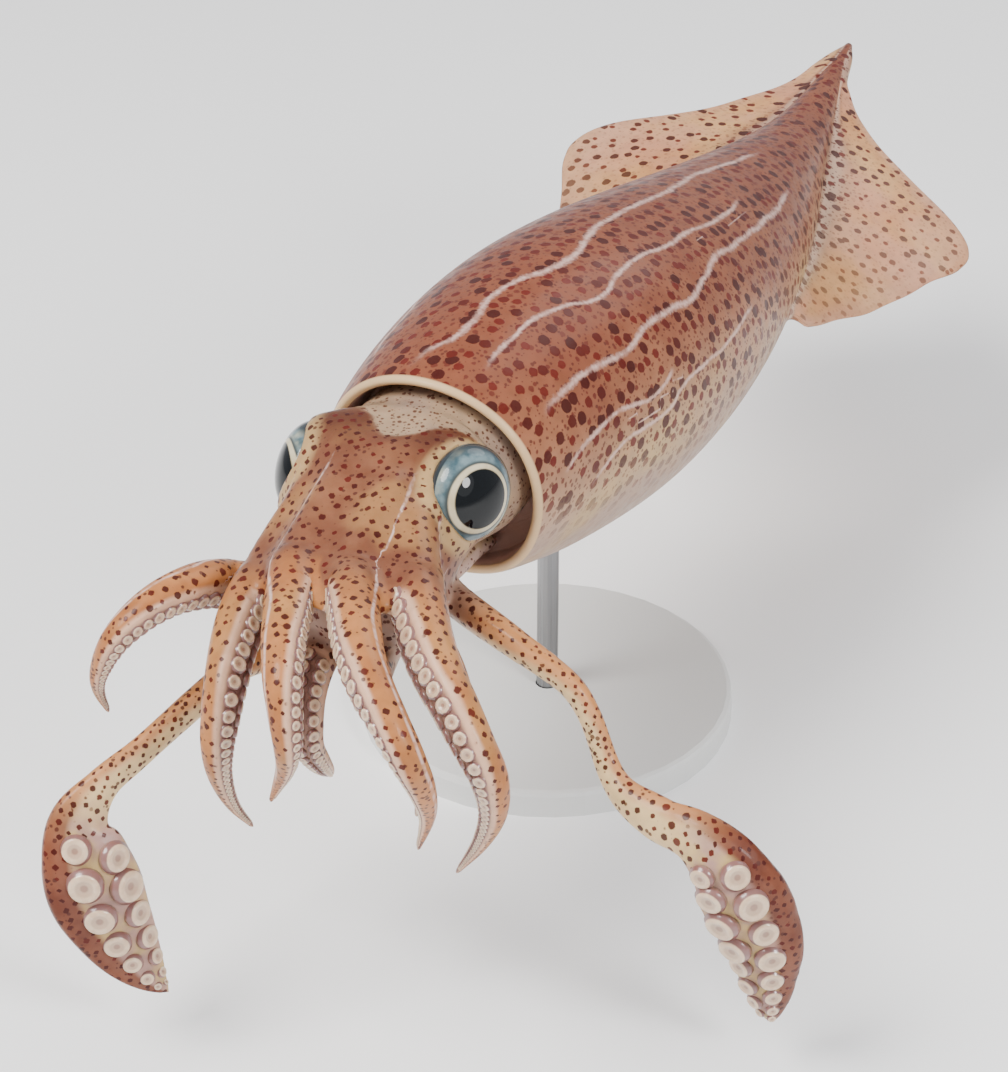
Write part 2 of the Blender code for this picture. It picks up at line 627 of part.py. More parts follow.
def limb_suckers(limb, form, start, end, width_at, depth_at, draw):
    """The cups of one node of a limb, between two shares of the limb's length."""
    length = line_length(limb["line"])
    cups = []
    shares = list(sucker_shares(form, limb["bare"], width_at, length))
    for k, share in enumerate(shares):
        ahead = shares[k + 1] if k + 1 < len(shares) else share
        for row in (-1.0, 1.0):
            at = share if row < 0 else 0.5 * (share + ahead)
            width = width_at(at)
            grow = 1.0 + form["varied"] * draw.uniform(-1.0, 1.0)
            radius = max(form["radius"] * width, form["least"]) * grow
            clear = (radius + GAP) / length
            if at - clear < start or at + clear * (end < 1.0) > end:
                continue
            middle, side, facing, forward = limb_frames(limb["line"], limb["oral"],
                                                        np.array([at]))[0]
            oral_depth = depth_at(at, width)[0]
            lean = math.asin(2.0 * form["row"]) * row
            place = middle + side * (0.5 * width * math.sin(lean)) + facing * (
                oral_depth * math.cos(lean))
            outward = (side * (math.sin(lean) / (0.5 * width))
                       + facing * (math.cos(lean) / oral_depth)).normalized()
            across = (forward - outward * forward.dot(outward)).normalized()
            cups.append(make_sucker("cup_%d" % len(cups), place, outward, across, radius,
                                    max(form["height"] * width, SUCKER_LEAST_HEIGHT),
                                    min(form["sink"] * width, SUCKER_SINK_LIMIT * oral_depth)
                                    + SUCKER_LEAST_SINK,
                                    form["sides"], form is CLUB_SUCKER))
    return cups


def limb_solid(name, limb, start, end, width_at, depth_at, segments, sides, material):
    count = max(3, round(segments * (end - start)))
    shares = np.linspace(start, end, count + 1)
    rings = []
    for share, frame in zip(shares, limb_frames(limb["line"], limb["oral"], shares)):
        width = width_at(share)
        oral_depth, back_depth = depth_at(share, width)
        rings.append(limb_ring(frame, width, oral_depth, back_depth, sides))
    return finish_solid(name, loft(rings), material)


def arm_depths(share, width):
    return ORAL_DEPTH_SHARE * width, BACK_DEPTH_SHARE * width


def make_arm(which, material):
    arm = ARMS[which]
    half_gap = 0.5 * GAP / line_length(arm["line"])

    def width_at(share):
        return arm_width(arm["width"], share)

    draw = random.Random(SUCKER_SEED + len(bpy.data.objects))
    start = arm["joins"] + 2.4 * half_gap if "ridge" in arm else 0.0
    root = limb_solid("arm_" + which + "_root", arm, start, ARM_SPLIT - half_gap, width_at,
                      arm_depths, ARM_SEGMENTS, ARM_SIDES, material)
    combine(root, limb_suckers(arm, ARM_SUCKER, 0.0, ARM_SPLIT - half_gap, width_at,
                               arm_depths, draw), "UNION")
    combine(root, [head_space()], "DIFFERENCE", "MANIFOLD")
    tip = limb_solid("arm_" + which + "_tip", arm, ARM_SPLIT + half_gap, 1.0, width_at,
                     arm_depths, ARM_SEGMENTS, ARM_SIDES, material)
    combine(tip, limb_suckers(arm, ARM_SUCKER, ARM_SPLIT + half_gap, 1.0, width_at,
                              arm_depths, draw), "UNION")


def make_tentacle(side, material):
    tentacle = TENTACLES[side]
    half_gap = 0.5 * GAP / line_length(tentacle["line"])

    def width_at(share):
        return smooth_value(tentacle["width"], share)

    def depths(share, width):
        thick = width * np.interp(share, *zip(*tentacle["flat"]))
        return TENTACLE_ORAL_DEPTH * thick, TENTACLE_BACK_DEPTH * thick

    cuts = [0.0, *TENTACLE_SPLITS, 1.0]
    names = ["tentacle_" + side + "_root", "tentacle_" + side + "_stalk", "club_" + side]
    for name, start, end in zip(names, cuts, cuts[1:]):
        start += half_gap if start > 0.0 else 0.0
        end -= half_gap if end < 1.0 else 0.0
        piece = limb_solid(name, tentacle, start, end, width_at, depths, TENTACLE_SEGMENTS,
                           TENTACLE_SIDES, material)
        if name.endswith("root"):
            combine(piece, [head_space()], "DIFFERENCE", "MANIFOLD")
        if name.startswith("club"):
            draw = random.Random(SUCKER_SEED + len(bpy.data.objects))
            combine(piece, limb_suckers(tentacle, CLUB_SUCKER, start, end, width_at, depths,
                                        draw), "UNION")


def upright_cylinder(name, radius, low, high, sides, material=None, bevel=0.0):
    """A round bar on the stand's own upright axis, between two heights above the floor."""
    bm = bmesh.new()
    bmesh.ops.create_cone(bm, cap_ends=True, segments=sides, radius1=radius * MM,
                          radius2=radius * MM, depth=(high - low) * MM,
                          matrix=Matrix.Translation((0.0, 0.0, 0.5 * (low + high) * MM)))
    if bevel:
        rim = [edge for edge in bm.edges
               if all(abs(vert.co.z - high * MM) < 1e-6 for vert in edge.verts)]
        bmesh.ops.bevel(bm, geom=rim, offset=bevel * MM, segments=2, profile=0.5,
                        affect="EDGES")
    return finish_solid(name, bm, material)


def belly_height():
    across, height = mantle_middle(RIM_TO_STAND)
    return AXIS_HEIGHT + height - smooth_value(MANTLE_RADIUS, RIM_TO_STAND)


def make_stand(base_material, rod_material):
    base = upright_cylinder("stand_base", BASE_RADIUS, 0.0, BASE_THICK, ROUND_SIDES,
                            base_material, BASE_BEVEL)
    foot = BASE_THICK - ROD_IN_BASE
    socket = upright_cylinder("rod_socket", ROD_RADIUS + GAP, foot - GAP, BASE_THICK + CUT_BEYOND,
                              ROD_SIDES)
    combine(base, [socket], "DIFFERENCE")
    upright_cylinder("stand_rod", ROD_RADIUS, foot, belly_height() + ROD_IN_BELLY, ROD_SIDES,
                     rod_material)


def rod_space():
    high = belly_height() + ROD_IN_BELLY + GAP
    low = high - ROD_IN_BELLY - CUT_BEYOND
    return upright_cylinder("rod_space", ROD_RADIUS + GAP, low, high, ROD_SIDES)


def main():
    clear_scene()
    skin = make_material("mantle_skin", (0.55, 0.24, 0.12), 0.35)
    fin_skin = make_material("fin_skin", (0.72, 0.45, 0.32), 0.35)
    head_skin = make_material("head_skin", (0.62, 0.30, 0.18), 0.35)
    arm_skin = make_material("arm_skin", (0.66, 0.34, 0.22), 0.35)
    tentacle_skin = make_material("tentacle_skin", (0.74, 0.50, 0.34), 0.35)
    eye_glass = make_material("eye_glass", (0.45, 0.55, 0.60), 0.08)
    painted = make_material("stand_paint", (0.80, 0.80, 0.78), 0.5)
    steel = make_material("stand_steel", (0.62, 0.62, 0.62), 0.3, 1.0)
    make_stand(painted, steel)
    make_mantle(skin, rod_space())
    make_fin("left", fin_skin)
    make_fin("right", fin_skin)
    make_head(head_skin)
    make_eye("eye_left", "left", 0.0, eye_glass)
    make_eye("eye_right", "right", 0.0, eye_glass)
    make_funnel(skin)
    for which in ARMS:
        make_arm(which, arm_skin)
    for side in TENTACLES:
        make_tentacle(side, tentacle_skin)


main()
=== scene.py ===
import math
import random

import bmesh
import bpy
import numpy as np
from mathutils import Matrix, Vector, kdtree


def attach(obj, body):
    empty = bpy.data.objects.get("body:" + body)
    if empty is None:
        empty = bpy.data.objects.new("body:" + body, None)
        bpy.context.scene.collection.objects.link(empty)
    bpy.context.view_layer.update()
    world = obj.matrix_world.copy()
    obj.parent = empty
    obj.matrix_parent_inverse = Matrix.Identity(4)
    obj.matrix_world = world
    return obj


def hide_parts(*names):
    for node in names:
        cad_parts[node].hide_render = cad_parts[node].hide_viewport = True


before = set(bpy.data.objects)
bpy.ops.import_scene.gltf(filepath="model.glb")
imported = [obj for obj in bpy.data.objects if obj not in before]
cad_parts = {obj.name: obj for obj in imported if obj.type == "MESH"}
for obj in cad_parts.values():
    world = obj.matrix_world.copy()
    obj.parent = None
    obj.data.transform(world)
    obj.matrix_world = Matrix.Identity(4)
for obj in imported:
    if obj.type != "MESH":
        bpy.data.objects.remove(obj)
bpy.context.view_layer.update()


def add_object(name, data):
    """A new object in the scene."""
    made = bpy.data.objects.new(name, data)
    bpy.context.scene.collection.objects.link(made)
    return made


def mesh_from(name, bm):
    """The mesh of a bmesh, which is then freed."""
    mesh = bpy.data.meshes.new(name)
    bm.to_mesh(mesh)
    bm.free()
    return mesh


# The viewpoint: from in front of the animal, to its left and above, as the drawing shows it.
VIEW_PLACE = (0.2878, -0.6343, 0.4933)
VIEW_RIGHT = Vector((0.9033, 0.4289, 0.0))
VIEW_UP = Vector((-0.2279, 0.4800, 0.8471))
VIEW_BACK = Vector((0.3634, -0.7652, 0.5314))
VIEW_LENS = 101.3
VIEW_SENSOR = 36.0
VIEW_NEAREST = 0.05

view_data = bpy.data.cameras.new("viewpoint")
view_data.lens = VIEW_LENS
view_data.sensor_width = VIEW_SENSOR
view_data.clip_start = VIEW_NEAREST
viewpoint = add_object("viewpoint", view_data)
turn = Matrix((VIEW_RIGHT, VIEW_UP, VIEW_BACK)).transposed().to_4x4()
viewpoint.matrix_world = Matrix.Translation(VIEW_PLACE) @ turn
bpy.context.scene.camera = viewpoint


# The studio: a broad soft lamp high on the left, a weaker one on the right, one behind to
# edge the tail and fins, a small one that puts a shine on the eye, and an even pale surround
# over a plain off-white floor. Each lamp has its place, width, power and tint.
LAMPS = {
    "lamp_key": ((-0.55, -0.75, 1.25), 0.80, 36.0, (1.0, 0.98, 0.95)),
    "lamp_fill": ((1.10, -0.55, 0.80), 1.00, 2.0, (0.96, 0.98, 1.0)),
    "lamp_rim": ((0.25, 0.95, 1.00), 0.80, 5.0, (1.0, 0.98, 0.96)),
    "lamp_catch": ((0.78, -0.34, 0.60), 0.28, 6.5, (1.0, 1.0, 1.0)),
}
LAMP_TARGET = Vector((0.0, -0.04, 0.10))
FLOOR_SIZE = 4.0
SURROUND_TINT = (0.93, 0.95, 1.0, 1.0)
SURROUND_STRENGTH = 0.70

for lamp_name, (lamp_place, lamp_size, lamp_power, lamp_tint) in LAMPS.items():
    lamp_data = bpy.data.lights.new(lamp_name, "AREA")
    lamp_data.shape = "DISK"
    lamp_data.size = lamp_size
    lamp_data.energy = lamp_power
    lamp_data.color = lamp_tint
    lamp = add_object(lamp_name, lamp_data)
    aim = (LAMP_TARGET - Vector(lamp_place)).to_track_quat("-Z", "Y").to_matrix().to_4x4()
    lamp.matrix_world = Matrix.Translation(lamp_place) @ aim

surround = bpy.data.worlds.new("surround")
surround.use_nodes = True
surround.node_tree.nodes["Background"].inputs["Color"].default_value = SURROUND_TINT
surround.node_tree.nodes["Background"].inputs["Strength"].default_value = SURROUND_STRENGTH
bpy.context.scene.world = surround


GRAIN_DEPTH = 0.44
GRAIN_LEAST = 0.78


class Finish:
    """One finish: a Principled shader and the pattern nodes that lead to it."""

    def __init__(self, name, **settings):
        self.material = bpy.data.materials.new(name)
        self.material.use_nodes = True
        self.tree = self.material.node_tree
        self.shader = self.tree.nodes["Principled BSDF"]
        for socket, value in settings.items():
            self.shader.inputs[socket.replace("_", " ")].default_value = value
        self.places = self.node("ShaderNodeTexCoord").outputs["Object"]

    def node(self, kind, **settings):
        node = self.tree.nodes.new(kind)
        for key, value in settings.items():
            setattr(node, key, value)
        return node

    def feed(self, socket, value):
        if hasattr(value, "is_output"):
            self.tree.links.new(value, socket)
        elif hasattr(value, "__len__") and len(value) == 3 and socket.type == "RGBA":
            socket.default_value = (*value, 1.0)
        else:
            socket.default_value = value

    def set(self, socket, value):
        self.feed(self.shader.inputs[socket], value)

    def mark(self, name):
        node = self.node("ShaderNodeAttribute", attribute_name=name)
        return node.outputs["Fac"]

    def maths(self, operation, first, second=0.0, third=None):
        node = self.node("ShaderNodeMath", operation=operation)
        self.feed(node.inputs[0], first)
        self.feed(node.inputs[1], second)
        if third is not None:
            self.feed(node.inputs[2], third)
        return node.outputs[0]

    def times(self, first, second):
        return self.maths("MULTIPLY", first, second)

    def scaled(self, value, scale, more):
        """The value times a scale, plus more."""
        return self.maths("MULTIPLY_ADD", value, scale, more)

    def step(self, value, low, high, to_low=0.0, to_high=1.0):
        """A soft step from to_low at low to to_high at high."""
        node = self.node("ShaderNodeMapRange", interpolation_type="SMOOTHSTEP")
        for socket, given in zip(node.inputs, (value, low, high, to_low, to_high)):
            self.feed(socket, given)
        return node.outputs[0]

    def noise(self, scale, detail=3.0, where=None, colour=False):
        node = self.node("ShaderNodeTexNoise")
        self.feed(node.inputs["Vector"], where or self.places)
        self.feed(node.inputs["Scale"], scale)
        self.feed(node.inputs["Detail"], detail)
        return node.outputs["Color" if colour else "Fac"]

    def shaken(self, scale, amount, places=None):
        """The places, each moved a little at random, for uneven outlines."""
        middle = self.node("ShaderNodeVectorMath", operation="SUBTRACT")
        self.feed(middle.inputs[0], self.noise(scale, colour=True))
        middle.inputs[1].default_value = (0.5, 0.5, 0.5)
        moved = self.node("ShaderNodeVectorMath", operation="MULTIPLY_ADD")
        self.feed(moved.inputs[0], middle.outputs[0])
        moved.inputs[1].default_value = (amount, amount, amount)
        self.feed(moved.inputs[2], places or self.places)
        return moved.outputs[0]

    def cells(self, scale, where, flat=False, scatter=1.0):
        """Distance from the nearest of many scattered points, and a random value for each."""
        node = self.node("ShaderNodeTexVoronoi", voronoi_dimensions="2D" if flat else "3D")
        self.feed(node.inputs["Vector"], where)
        self.feed(node.inputs["Scale"], scale)
        self.feed(node.inputs["Randomness"], scatter)
        return node.outputs["Distance"], node.outputs["Color"]

    def mix(self, share, first, second, way="MIX"):
        node = self.node("ShaderNodeMix", data_type="RGBA", blend_type=way)
        self.feed(node.inputs[0], share)
        self.feed(node.inputs[6], first)
        self.feed(node.inputs[7], second)
        return node.outputs[2]

    def bump(self, height, strength, distance):
        node = self.node("ShaderNodeBump")
        self.feed(node.inputs["Height"], height)
        self.feed(node.inputs["Strength"], strength)
        self.feed(node.inputs["Distance"], distance)
        self.feed(self.shader.inputs["Normal"], node.outputs[0])

    def grained(self, tint, pattern):
        """The tint made a little lighter and darker by a fine pattern."""
        shade = self.scaled(pattern, GRAIN_DEPTH, GRAIN_LEAST)
        grey = self.node("ShaderNodeCombineColor")
        for socket in grey.inputs:
            self.feed(socket, shade)
        return self.mix(1.0, tint, grey.outputs[0], "MULTIPLY")


floor_finish = Finish("floor_matt", Roughness=0.75)
floor_finish.set("Base Color", floor_finish.mix(floor_finish.noise(3.0), (0.88, 0.88, 0.88),
                                                (0.91, 0.91, 0.91)))
bm = bmesh.new()
bmesh.ops.create_grid(bm, x_segments=1, y_segments=1, size=FLOOR_SIZE / 2)
floor = add_object("floor", mesh_from("floor", bm))
floor.data.materials.append(floor_finish.material)


# The mantle and its fins: one muscular tube, open round the neck, that narrows to the tail,
# with a thin blade of muscle along each rear flank. Cast in one skin with no seam, in the
# model's millimetres: y runs back from the mantle's front rim, x to the left, z up.
BODY_PLACE = np.array((0.0, -70.0, 112.0))
MILLIMETRE = 0.001
MANTLE_LENGTH = 300.0
MANTLE_BOW = 8.5
MANTLE_SAG = 10.0
BOW_SHAPE = 1.3
MANTLE_RADIUS = [
    (0.0, 29.8), (5.0, 31.0), (20.0, 34.2), (42.0, 37.6), (70.0, 39.5), (100.0, 38.0),
    (130.0, 34.0), (160.0, 28.3), (190.0, 21.6), (215.0, 15.4), (240.0, 9.9), (265.0, 5.8),
    (285.0, 3.0), (300.0, 0.9),
]
RIM_LIP = [(3.5, 30.6), (0.7, 29.7), (-0.3, 28.8), (0.1, 27.7), (2.0, 27.2), (14.0, 26.5)]
RIM_LOBE = 3.0
RIM_NOTCH = 7.0
RIM_FADE = 28.0
FIN_MARGIN = [
    (100.0, -12.0), (130.0, 19.0), (141.0, 30.0), (152.0, 40.5), (168.0, 47.0), (189.0, 53.5),
    (208.0, 59.5), (222.5, 65.0), (230.0, 65.5), (236.5, 61.5), (241.0, 55.0), (246.0, 43.0),
    (252.0, 30.5), (261.0, 19.5), (274.0, 9.5), (296.0, 2.5), (300.0, 0.5),
]
FIN_DROOP = {1.0: 21.0, -1.0: 8.0}
FIN_WAVE = {1.0: 6.5, -1.0: 21.0}
FIN_WAVE_ALONG = 182.0
FIN_WAVE_REACH = 30.0
FIN_SPAN = 65.0
FIN_ROOT_SHARE = 0.62
FIN_ROOT_THICK = 3.4
FIN_EDGE_THICK = 0.9
FIN_FILLET = 3.5
FIN_RIPPLE = 0.25
FIN_RIPPLE_LENGTH = 21.0
FIN_SPREAD = 3.0
FIN_STARTS = 5.0
FIN_SOFT_EDGE = 0.04
FIN_DROOP_POWER = 1.5
FIN_TILT_MOST, FIN_SPREAD_MOST = 0.6, 0.9
FIN_ROWS_POWER = 1.5
FIN_BLEND = 0.6
FIN_THINS = 1.3
FIN_HALF_MOST = (0.45, 0.15)
BODY_RINGS = 240
ARC_COLUMNS = 34
FIN_COLUMNS = 34
CURVE_STEPS = 24


def curve_through(points, shares):
    """Places at given shares of the length of a smooth line through the points."""
    points = np.array(points, float)
    ends = np.vstack([2 * points[0] - points[1], points, 2 * points[-1] - points[-2]])
    t = np.linspace(0.0, 1.0, CURVE_STEPS, endpoint=False)[:, None]
    spans = []
    for before, start, end, after in zip(ends, ends[1:], ends[2:], ends[3:]):
        spans.append(0.5 * (2 * start + (end - before) * t
                            + (2 * before - 5 * start + 4 * end - after) * t ** 2
                            + (3 * start - before - 3 * end + after) * t ** 3))
    dense = np.vstack(spans + [points[-1:]])
    travelled = np.concatenate([[0.0], np.cumsum(np.linalg.norm(np.diff(dense, axis=0), axis=1))])
    wanted = np.asarray(shares) * travelled[-1]
    return np.stack([np.interp(wanted, travelled, column) for column in dense.T], axis=-1)


def value_through(pairs, at):
    """A smooth value through (place, value) pairs, read at one place or many."""
    places, values = np.array(pairs, float).T
    slopes = np.gradient(values, places)
    at = np.clip(np.asarray(at, float), places[0], places[-1])
    i = np.clip(np.searchsorted(places, at) - 1, 0, len(places) - 2)
    width = places[i + 1] - places[i]
    t = (at - places[i]) / width
    return ((2 * t ** 3 - 3 * t ** 2 + 1) * values[i] + (t ** 3 - 2 * t ** 2 + t) * width * slopes[i]
            + (3 * t ** 2 - 2 * t ** 3) * values[i + 1] + (t ** 3 - t ** 2) * width * slopes[i + 1])


def soft_step(value, low, high):
    """0 at low, 1 at high and a smooth rise between."""
    t = np.clip((value - low) / (high - low), 0.0, 1.0)
    return t * t * (3.0 - 2.0 * t)


def mantle_middle(along):
    """How far the mantle's middle lies to the left and up, at a place along it."""
    bow = np.sin(math.pi * np.clip(along / MANTLE_LENGTH, 0.0, 1.0) ** BOW_SHAPE)
    return MANTLE_BOW * bow, -MANTLE_SAG * bow


def fin_droop(side, along, reach):
    """How far a fin hangs below the mantle's middle, at a reach out from it."""
    wave = FIN_WAVE[side] * math.exp(-((along - FIN_WAVE_ALONG) / FIN_WAVE_REACH) ** 2)
    return (FIN_DROOP[side] + wave) * (np.clip(reach, 0.0, None) / FIN_SPAN) ** FIN_DROOP_POWER


def half_ring(side, along, radius):
    """One side of a body ring from the back to the belly: places and the fin's share."""
    middle, level = mantle_middle(along)
    droop_here = float(fin_droop(side, along, radius))
    blade_angle = math.pi / 2 + math.asin(min(droop_here / radius, FIN_TILT_MOST))
    spread = math.asin(min(FIN_SPREAD / radius, FIN_SPREAD_MOST))
    rise = np.arange(FIN_COLUMNS) / FIN_COLUMNS
    angles = np.concatenate([
        np.linspace(0.0, blade_angle - spread, ARC_COLUMNS, endpoint=False),
        blade_angle - spread * (1.0 - rise), blade_angle + spread * rise,
        np.linspace(blade_angle + spread, math.pi, ARC_COLUMNS, endpoint=False)])
    flat = np.zeros(ARC_COLUMNS)
    out = 1.0 - (1.0 - rise) ** FIN_ROWS_POWER
    share = np.concatenate([flat, out, np.append(1.0, out[:0:-1]), flat])
    margin = float(value_through(FIN_MARGIN, along)) - side * middle
    past = margin - radius
    extent = 0.5 * (past + math.sqrt(past * past + FIN_BLEND))
    starts = float(soft_step(extent, 0.0, FIN_STARTS))
    blade = starts * (share > 0.0)
    reach = radius * np.sin(angles) + extent * share
    upper = np.where(np.arange(len(angles)) < ARC_COLUMNS + FIN_COLUMNS, 1.0, -1.0)
    root = FIN_ROOT_SHARE * radius
    thin = np.clip(FIN_THINS * (reach - root) / max(margin - root, 1.0), 0.0, 1.0)
    half = 0.5 * (FIN_ROOT_THICK + (FIN_EDGE_THICK - FIN_ROOT_THICK) * thin)
    half = np.minimum(half, FIN_HALF_MOST[0] * radius + FIN_HALF_MOST[1])
    edge = radius * (math.cos(blade_angle - spread) - math.cos(blade_angle))
    round_off = np.sqrt(np.clip((1.0 - share) / FIN_SOFT_EDGE, 0.0, 1.0))
    fillet = (edge - half) * np.exp(-(reach - radius * math.sin(blade_angle)).clip(0.0)
                                    / FIN_FILLET)
    ripple = FIN_RIPPLE * share ** 2 * math.sin(2 * math.pi * along / FIN_RIPPLE_LENGTH + side)
    centre = -fin_droop(side, along, reach + side * middle * share) + ripple
    blade_height = centre + upper * (half * round_off + fillet)
    height = radius * np.cos(angles)
    height = height + (blade_height - height) * blade
    return middle + side * reach, level + height, angles, share * starts


def body_ring(along, radius, lobed):
    """A full ring of the mantle, from the middle of the back round by the left side."""
    left = half_ring(1.0, along, radius)
    right = half_ring(-1.0, along, radius)
    middle, level = mantle_middle(along)
    belly = (np.array([middle]), np.array([level - radius]), np.array([math.pi]), np.zeros(1))
    joined = [np.concatenate([a, c, b[:0:-1]]) for a, b, c in zip(left, right, belly)]
    across, height, angles, fin = joined
    lobe = np.clip(np.cos(angles), 0.0, None) ** 3
    notch = np.clip(-np.cos(angles), 0.0, None) ** 3
    fade = max(1.0 - along / RIM_FADE, 0.0) * lobed
    shift = (RIM_NOTCH * notch - RIM_LOBE * lobe) * fade
    signed = angles * np.sign(across - middle + 1e-9)
    places = np.stack([across, along + shift, height], axis=1)
    return places, signed, fin


def skin_from_rings(rings, marks):
    """A closed tube through rings of places: a grid bent round, welded and capped."""
    count, sides = rings.shape[:2]
    bm = bmesh.new()
    bmesh.ops.create_grid(bm, x_segments=sides, y_segments=count - 1, size=0.5)
    layers = [(bm.verts.layers.float.new(name), values) for name, values in marks.items()]
    rings = (rings + BODY_PLACE) * MILLIMETRE
    for vert in bm.verts:
        column = round((vert.co.x + 0.5) * sides) % sides
        row = round((vert.co.y + 0.5) * (count - 1))
        for layer, values in layers:
            vert[layer] = values[row, column]
        vert.co = rings[row, column]
    bmesh.ops.remove_doubles(bm, verts=bm.verts, dist=1e-6)
    capped = bmesh.ops.holes_fill(bm, edges=[edge for edge in bm.edges if edge.is_boundary])
    bmesh.ops.triangulate(bm, faces=capped["faces"])
    bmesh.ops.recalc_face_normals(bm, faces=bm.faces)
    return bm


def make_piece(name, bm, finish):
    """The finished piece: smooth shaded, in its finish, riding on the one body."""
    piece = add_object(name, mesh_from(name, bm))
    piece.data.shade_smooth()
    piece.data.materials.append(finish.material)
    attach(piece, "root")
    return piece


# Painted highlights on the mantle: pale wavy glint streaks, each (half width, points as (y, degrees
# from the back's middle)).
STREAK_FADE = 14.0
STREAK_SAMPLES = 140
STREAK_NEAR = 9.0
STREAK_WIDEST = 2.6
GLINT_STREAKS = [
    (1.5, [(2, -12), (9, -9), (15, -2), (24, 0), (32, -2), (43, 0), (51, 6), (62, 9), (77, 5),
           (92, 3), (110, 4), (127, 4), (147, 1), (165, 4), (191, 12)]),
    (1.0, [(8, 20), (15, 18), (23, 18), (32, 19), (41, 22), (49, 28), (57, 29), (64, 26),
           (76, 25), (89, 28), (102, 28), (118, 30), (134, 31), (146, 29)]),
    (1.3, [(9, 52), (16, 49), (25, 48), (36, 50), (47, 51), (56, 48), (66, 48), (80, 50),
           (91, 48), (101, 44), (117, 44), (140, 45), (161, 46), (181, 44)]),
    (0.9, [(9, 80), (17, 74), (26, 70), (35, 69), (45, 72), (54, 70), (60, 67)]),
    (0.9, [(18, 94), (24, 87), (34, 82), (46, 82), (55, 80), (61, 76), (72, 74), (85, 74),
           (98, 72), (112, 69)]),
    (1.1, [(8, -40), (20, -44), (34, -42), (50, -47), (66, -45), (84, -41), (104, -44),
           (126, -46), (150, -43), (172, -45)]),
    (0.9, [(14, -78), (28, -72), (42, -75), (58, -70), (76, -73), (98, -70), (116, -72)]),
]


def glint_streak_marks(along, angles, radius):
    """How far each place lies from the nearest painted glint line, in half widths, and that line's
    reach.
    """
    offset = np.full(along.shape, STREAK_NEAR)
    reach = np.zeros(along.shape)
    spot = np.stack([along, angles * radius], axis=-1)
    for half_width, points in GLINT_STREAKS:
        line = curve_through([(y, math.radians(d) * float(value_through(MANTLE_RADIUS, y)))
                              for y, d in points], np.linspace(0.0, 1.0, STREAK_SAMPLES))
        tangent = np.gradient(line, axis=0)
        tangent /= np.linalg.norm(tangent, axis=1)[:, None]
        for i in range(len(along)):
            if not line[0, 0] - STREAK_NEAR < along[i].min() < line[-1, 0] + STREAK_NEAR:
                continue
            gap = spot[i][:, None, :] - line[None]
            nearest = np.argmin((gap ** 2).sum(-1), axis=1)
            gap = gap[np.arange(len(nearest)), nearest]
            ahead = tangent[nearest]
            side_way = (ahead[:, 0] * gap[:, 1] - ahead[:, 1] * gap[:, 0]) / half_width
            ends = np.clip(np.minimum(nearest, len(line) - 1 - nearest) / STREAK_FADE, 0.0, 1.0)
            ends = ends * (np.abs(side_way) < STREAK_WIDEST)
            closer = np.abs(side_way) < np.abs(offset[i])
            offset[i] = np.where(closer, side_way, offset[i])
            reach[i] = np.where(closer, ends, reach[i])
    return offset, reach


LIP_OUTER_RINGS = 8
LIP_INNER_FADE = (2.0, 12.0)
LIP_STARTS, LIP_ENDS, INSIDE_STARTS = (1.4, 0.5), (1.8, 0.2), (0.2, 3.2)
FIRST_RING = 4.5
RING_EASE = 0.92
TAIL_CAP, TAIL_CAP_RADIUS = 0.35, 0.4
body_share = np.linspace(0.0, 1.0, BODY_RINGS)
body_stations = [(MANTLE_LENGTH + TAIL_CAP, TAIL_CAP_RADIUS)]
body_stations += [(along, float(value_through(MANTLE_RADIUS, along)))
                  for along in MANTLE_LENGTH - (MANTLE_LENGTH - FIRST_RING) * body_share ** RING_EASE]
lip_line = curve_through(RIM_LIP, np.concatenate([np.linspace(0.02, 0.36, 15),
                                                  np.linspace(0.42, 1.0, 8)]))
ring_parts = [(*body_ring(along, radius, 1.0), 0.0, soft_step(along, *LIP_STARTS))
              for along, radius in body_stations]
for k, (along, radius) in enumerate(lip_line):
    inner = k >= LIP_OUTER_RINGS
    lobed = 1.0 - float(soft_step(along, *LIP_INNER_FADE)) if inner else 1.0
    inside = soft_step(along, *INSIDE_STARTS) if inner else 0.0
    ring_parts.append((*body_ring(float(along), float(radius), lobed), inside,
                       soft_step(along, *LIP_ENDS)))
body_rings, body_angles, body_fin, ring_inside, ring_lip = (
    np.array(part) for part in zip(*ring_parts))
body_radius = np.array([radius for _, radius in body_stations] + list(lip_line[:, 1]))
body_along = np.array([along for along, _ in body_stations] + list(lip_line[:, 0]))
along_each, inside_each, lip_each = (np.repeat(by_ring[:, None], body_angles.shape[1], axis=1)
                                     for by_ring in (body_along, ring_inside, ring_lip))
# Painted highlight: how far each place lies from the pale glint streaks, and their reach.
glint_streak_offset, glint_streak_reach = glint_streak_marks(along_each, body_angles, body_radius[:, None])
# Flat places on the skin, in millimetres: along the body, and round it from the back's middle
# (from the belly's middle below the fins), so that spots lie round and even on it.
half = body_rings.shape[1] // 2
steps = np.linalg.norm(np.diff(body_rings[:, :half + 1], axis=1), axis=2)
from_back = np.concatenate([np.zeros((len(steps), 1)), np.cumsum(steps, axis=1)], axis=1)
from_belly = from_back[:, -1:] - from_back
before_fins = np.minimum(body_along, FIN_MARGIN[0][0])
girth = math.pi * value_through(MANTLE_RADIUS, before_fins)[:, None]
upper = np.arange(half + 1) < ARC_COLUMNS + FIN_COLUMNS
one_side = np.where(upper, from_back, girth - from_belly)
body_round = np.concatenate([one_side, -one_side[:, half - 1:0:-1]], axis=1)
body_bm = skin_from_rings(body_rings, {
    "flat_along": along_each, "flat_round": body_round,
    "back": np.cos(body_angles), "fin": body_fin, "inside": inside_each, "lip": lip_each,
    "glint_streak": glint_streak_offset, "glint_streak_reach": glint_streak_reach,
})


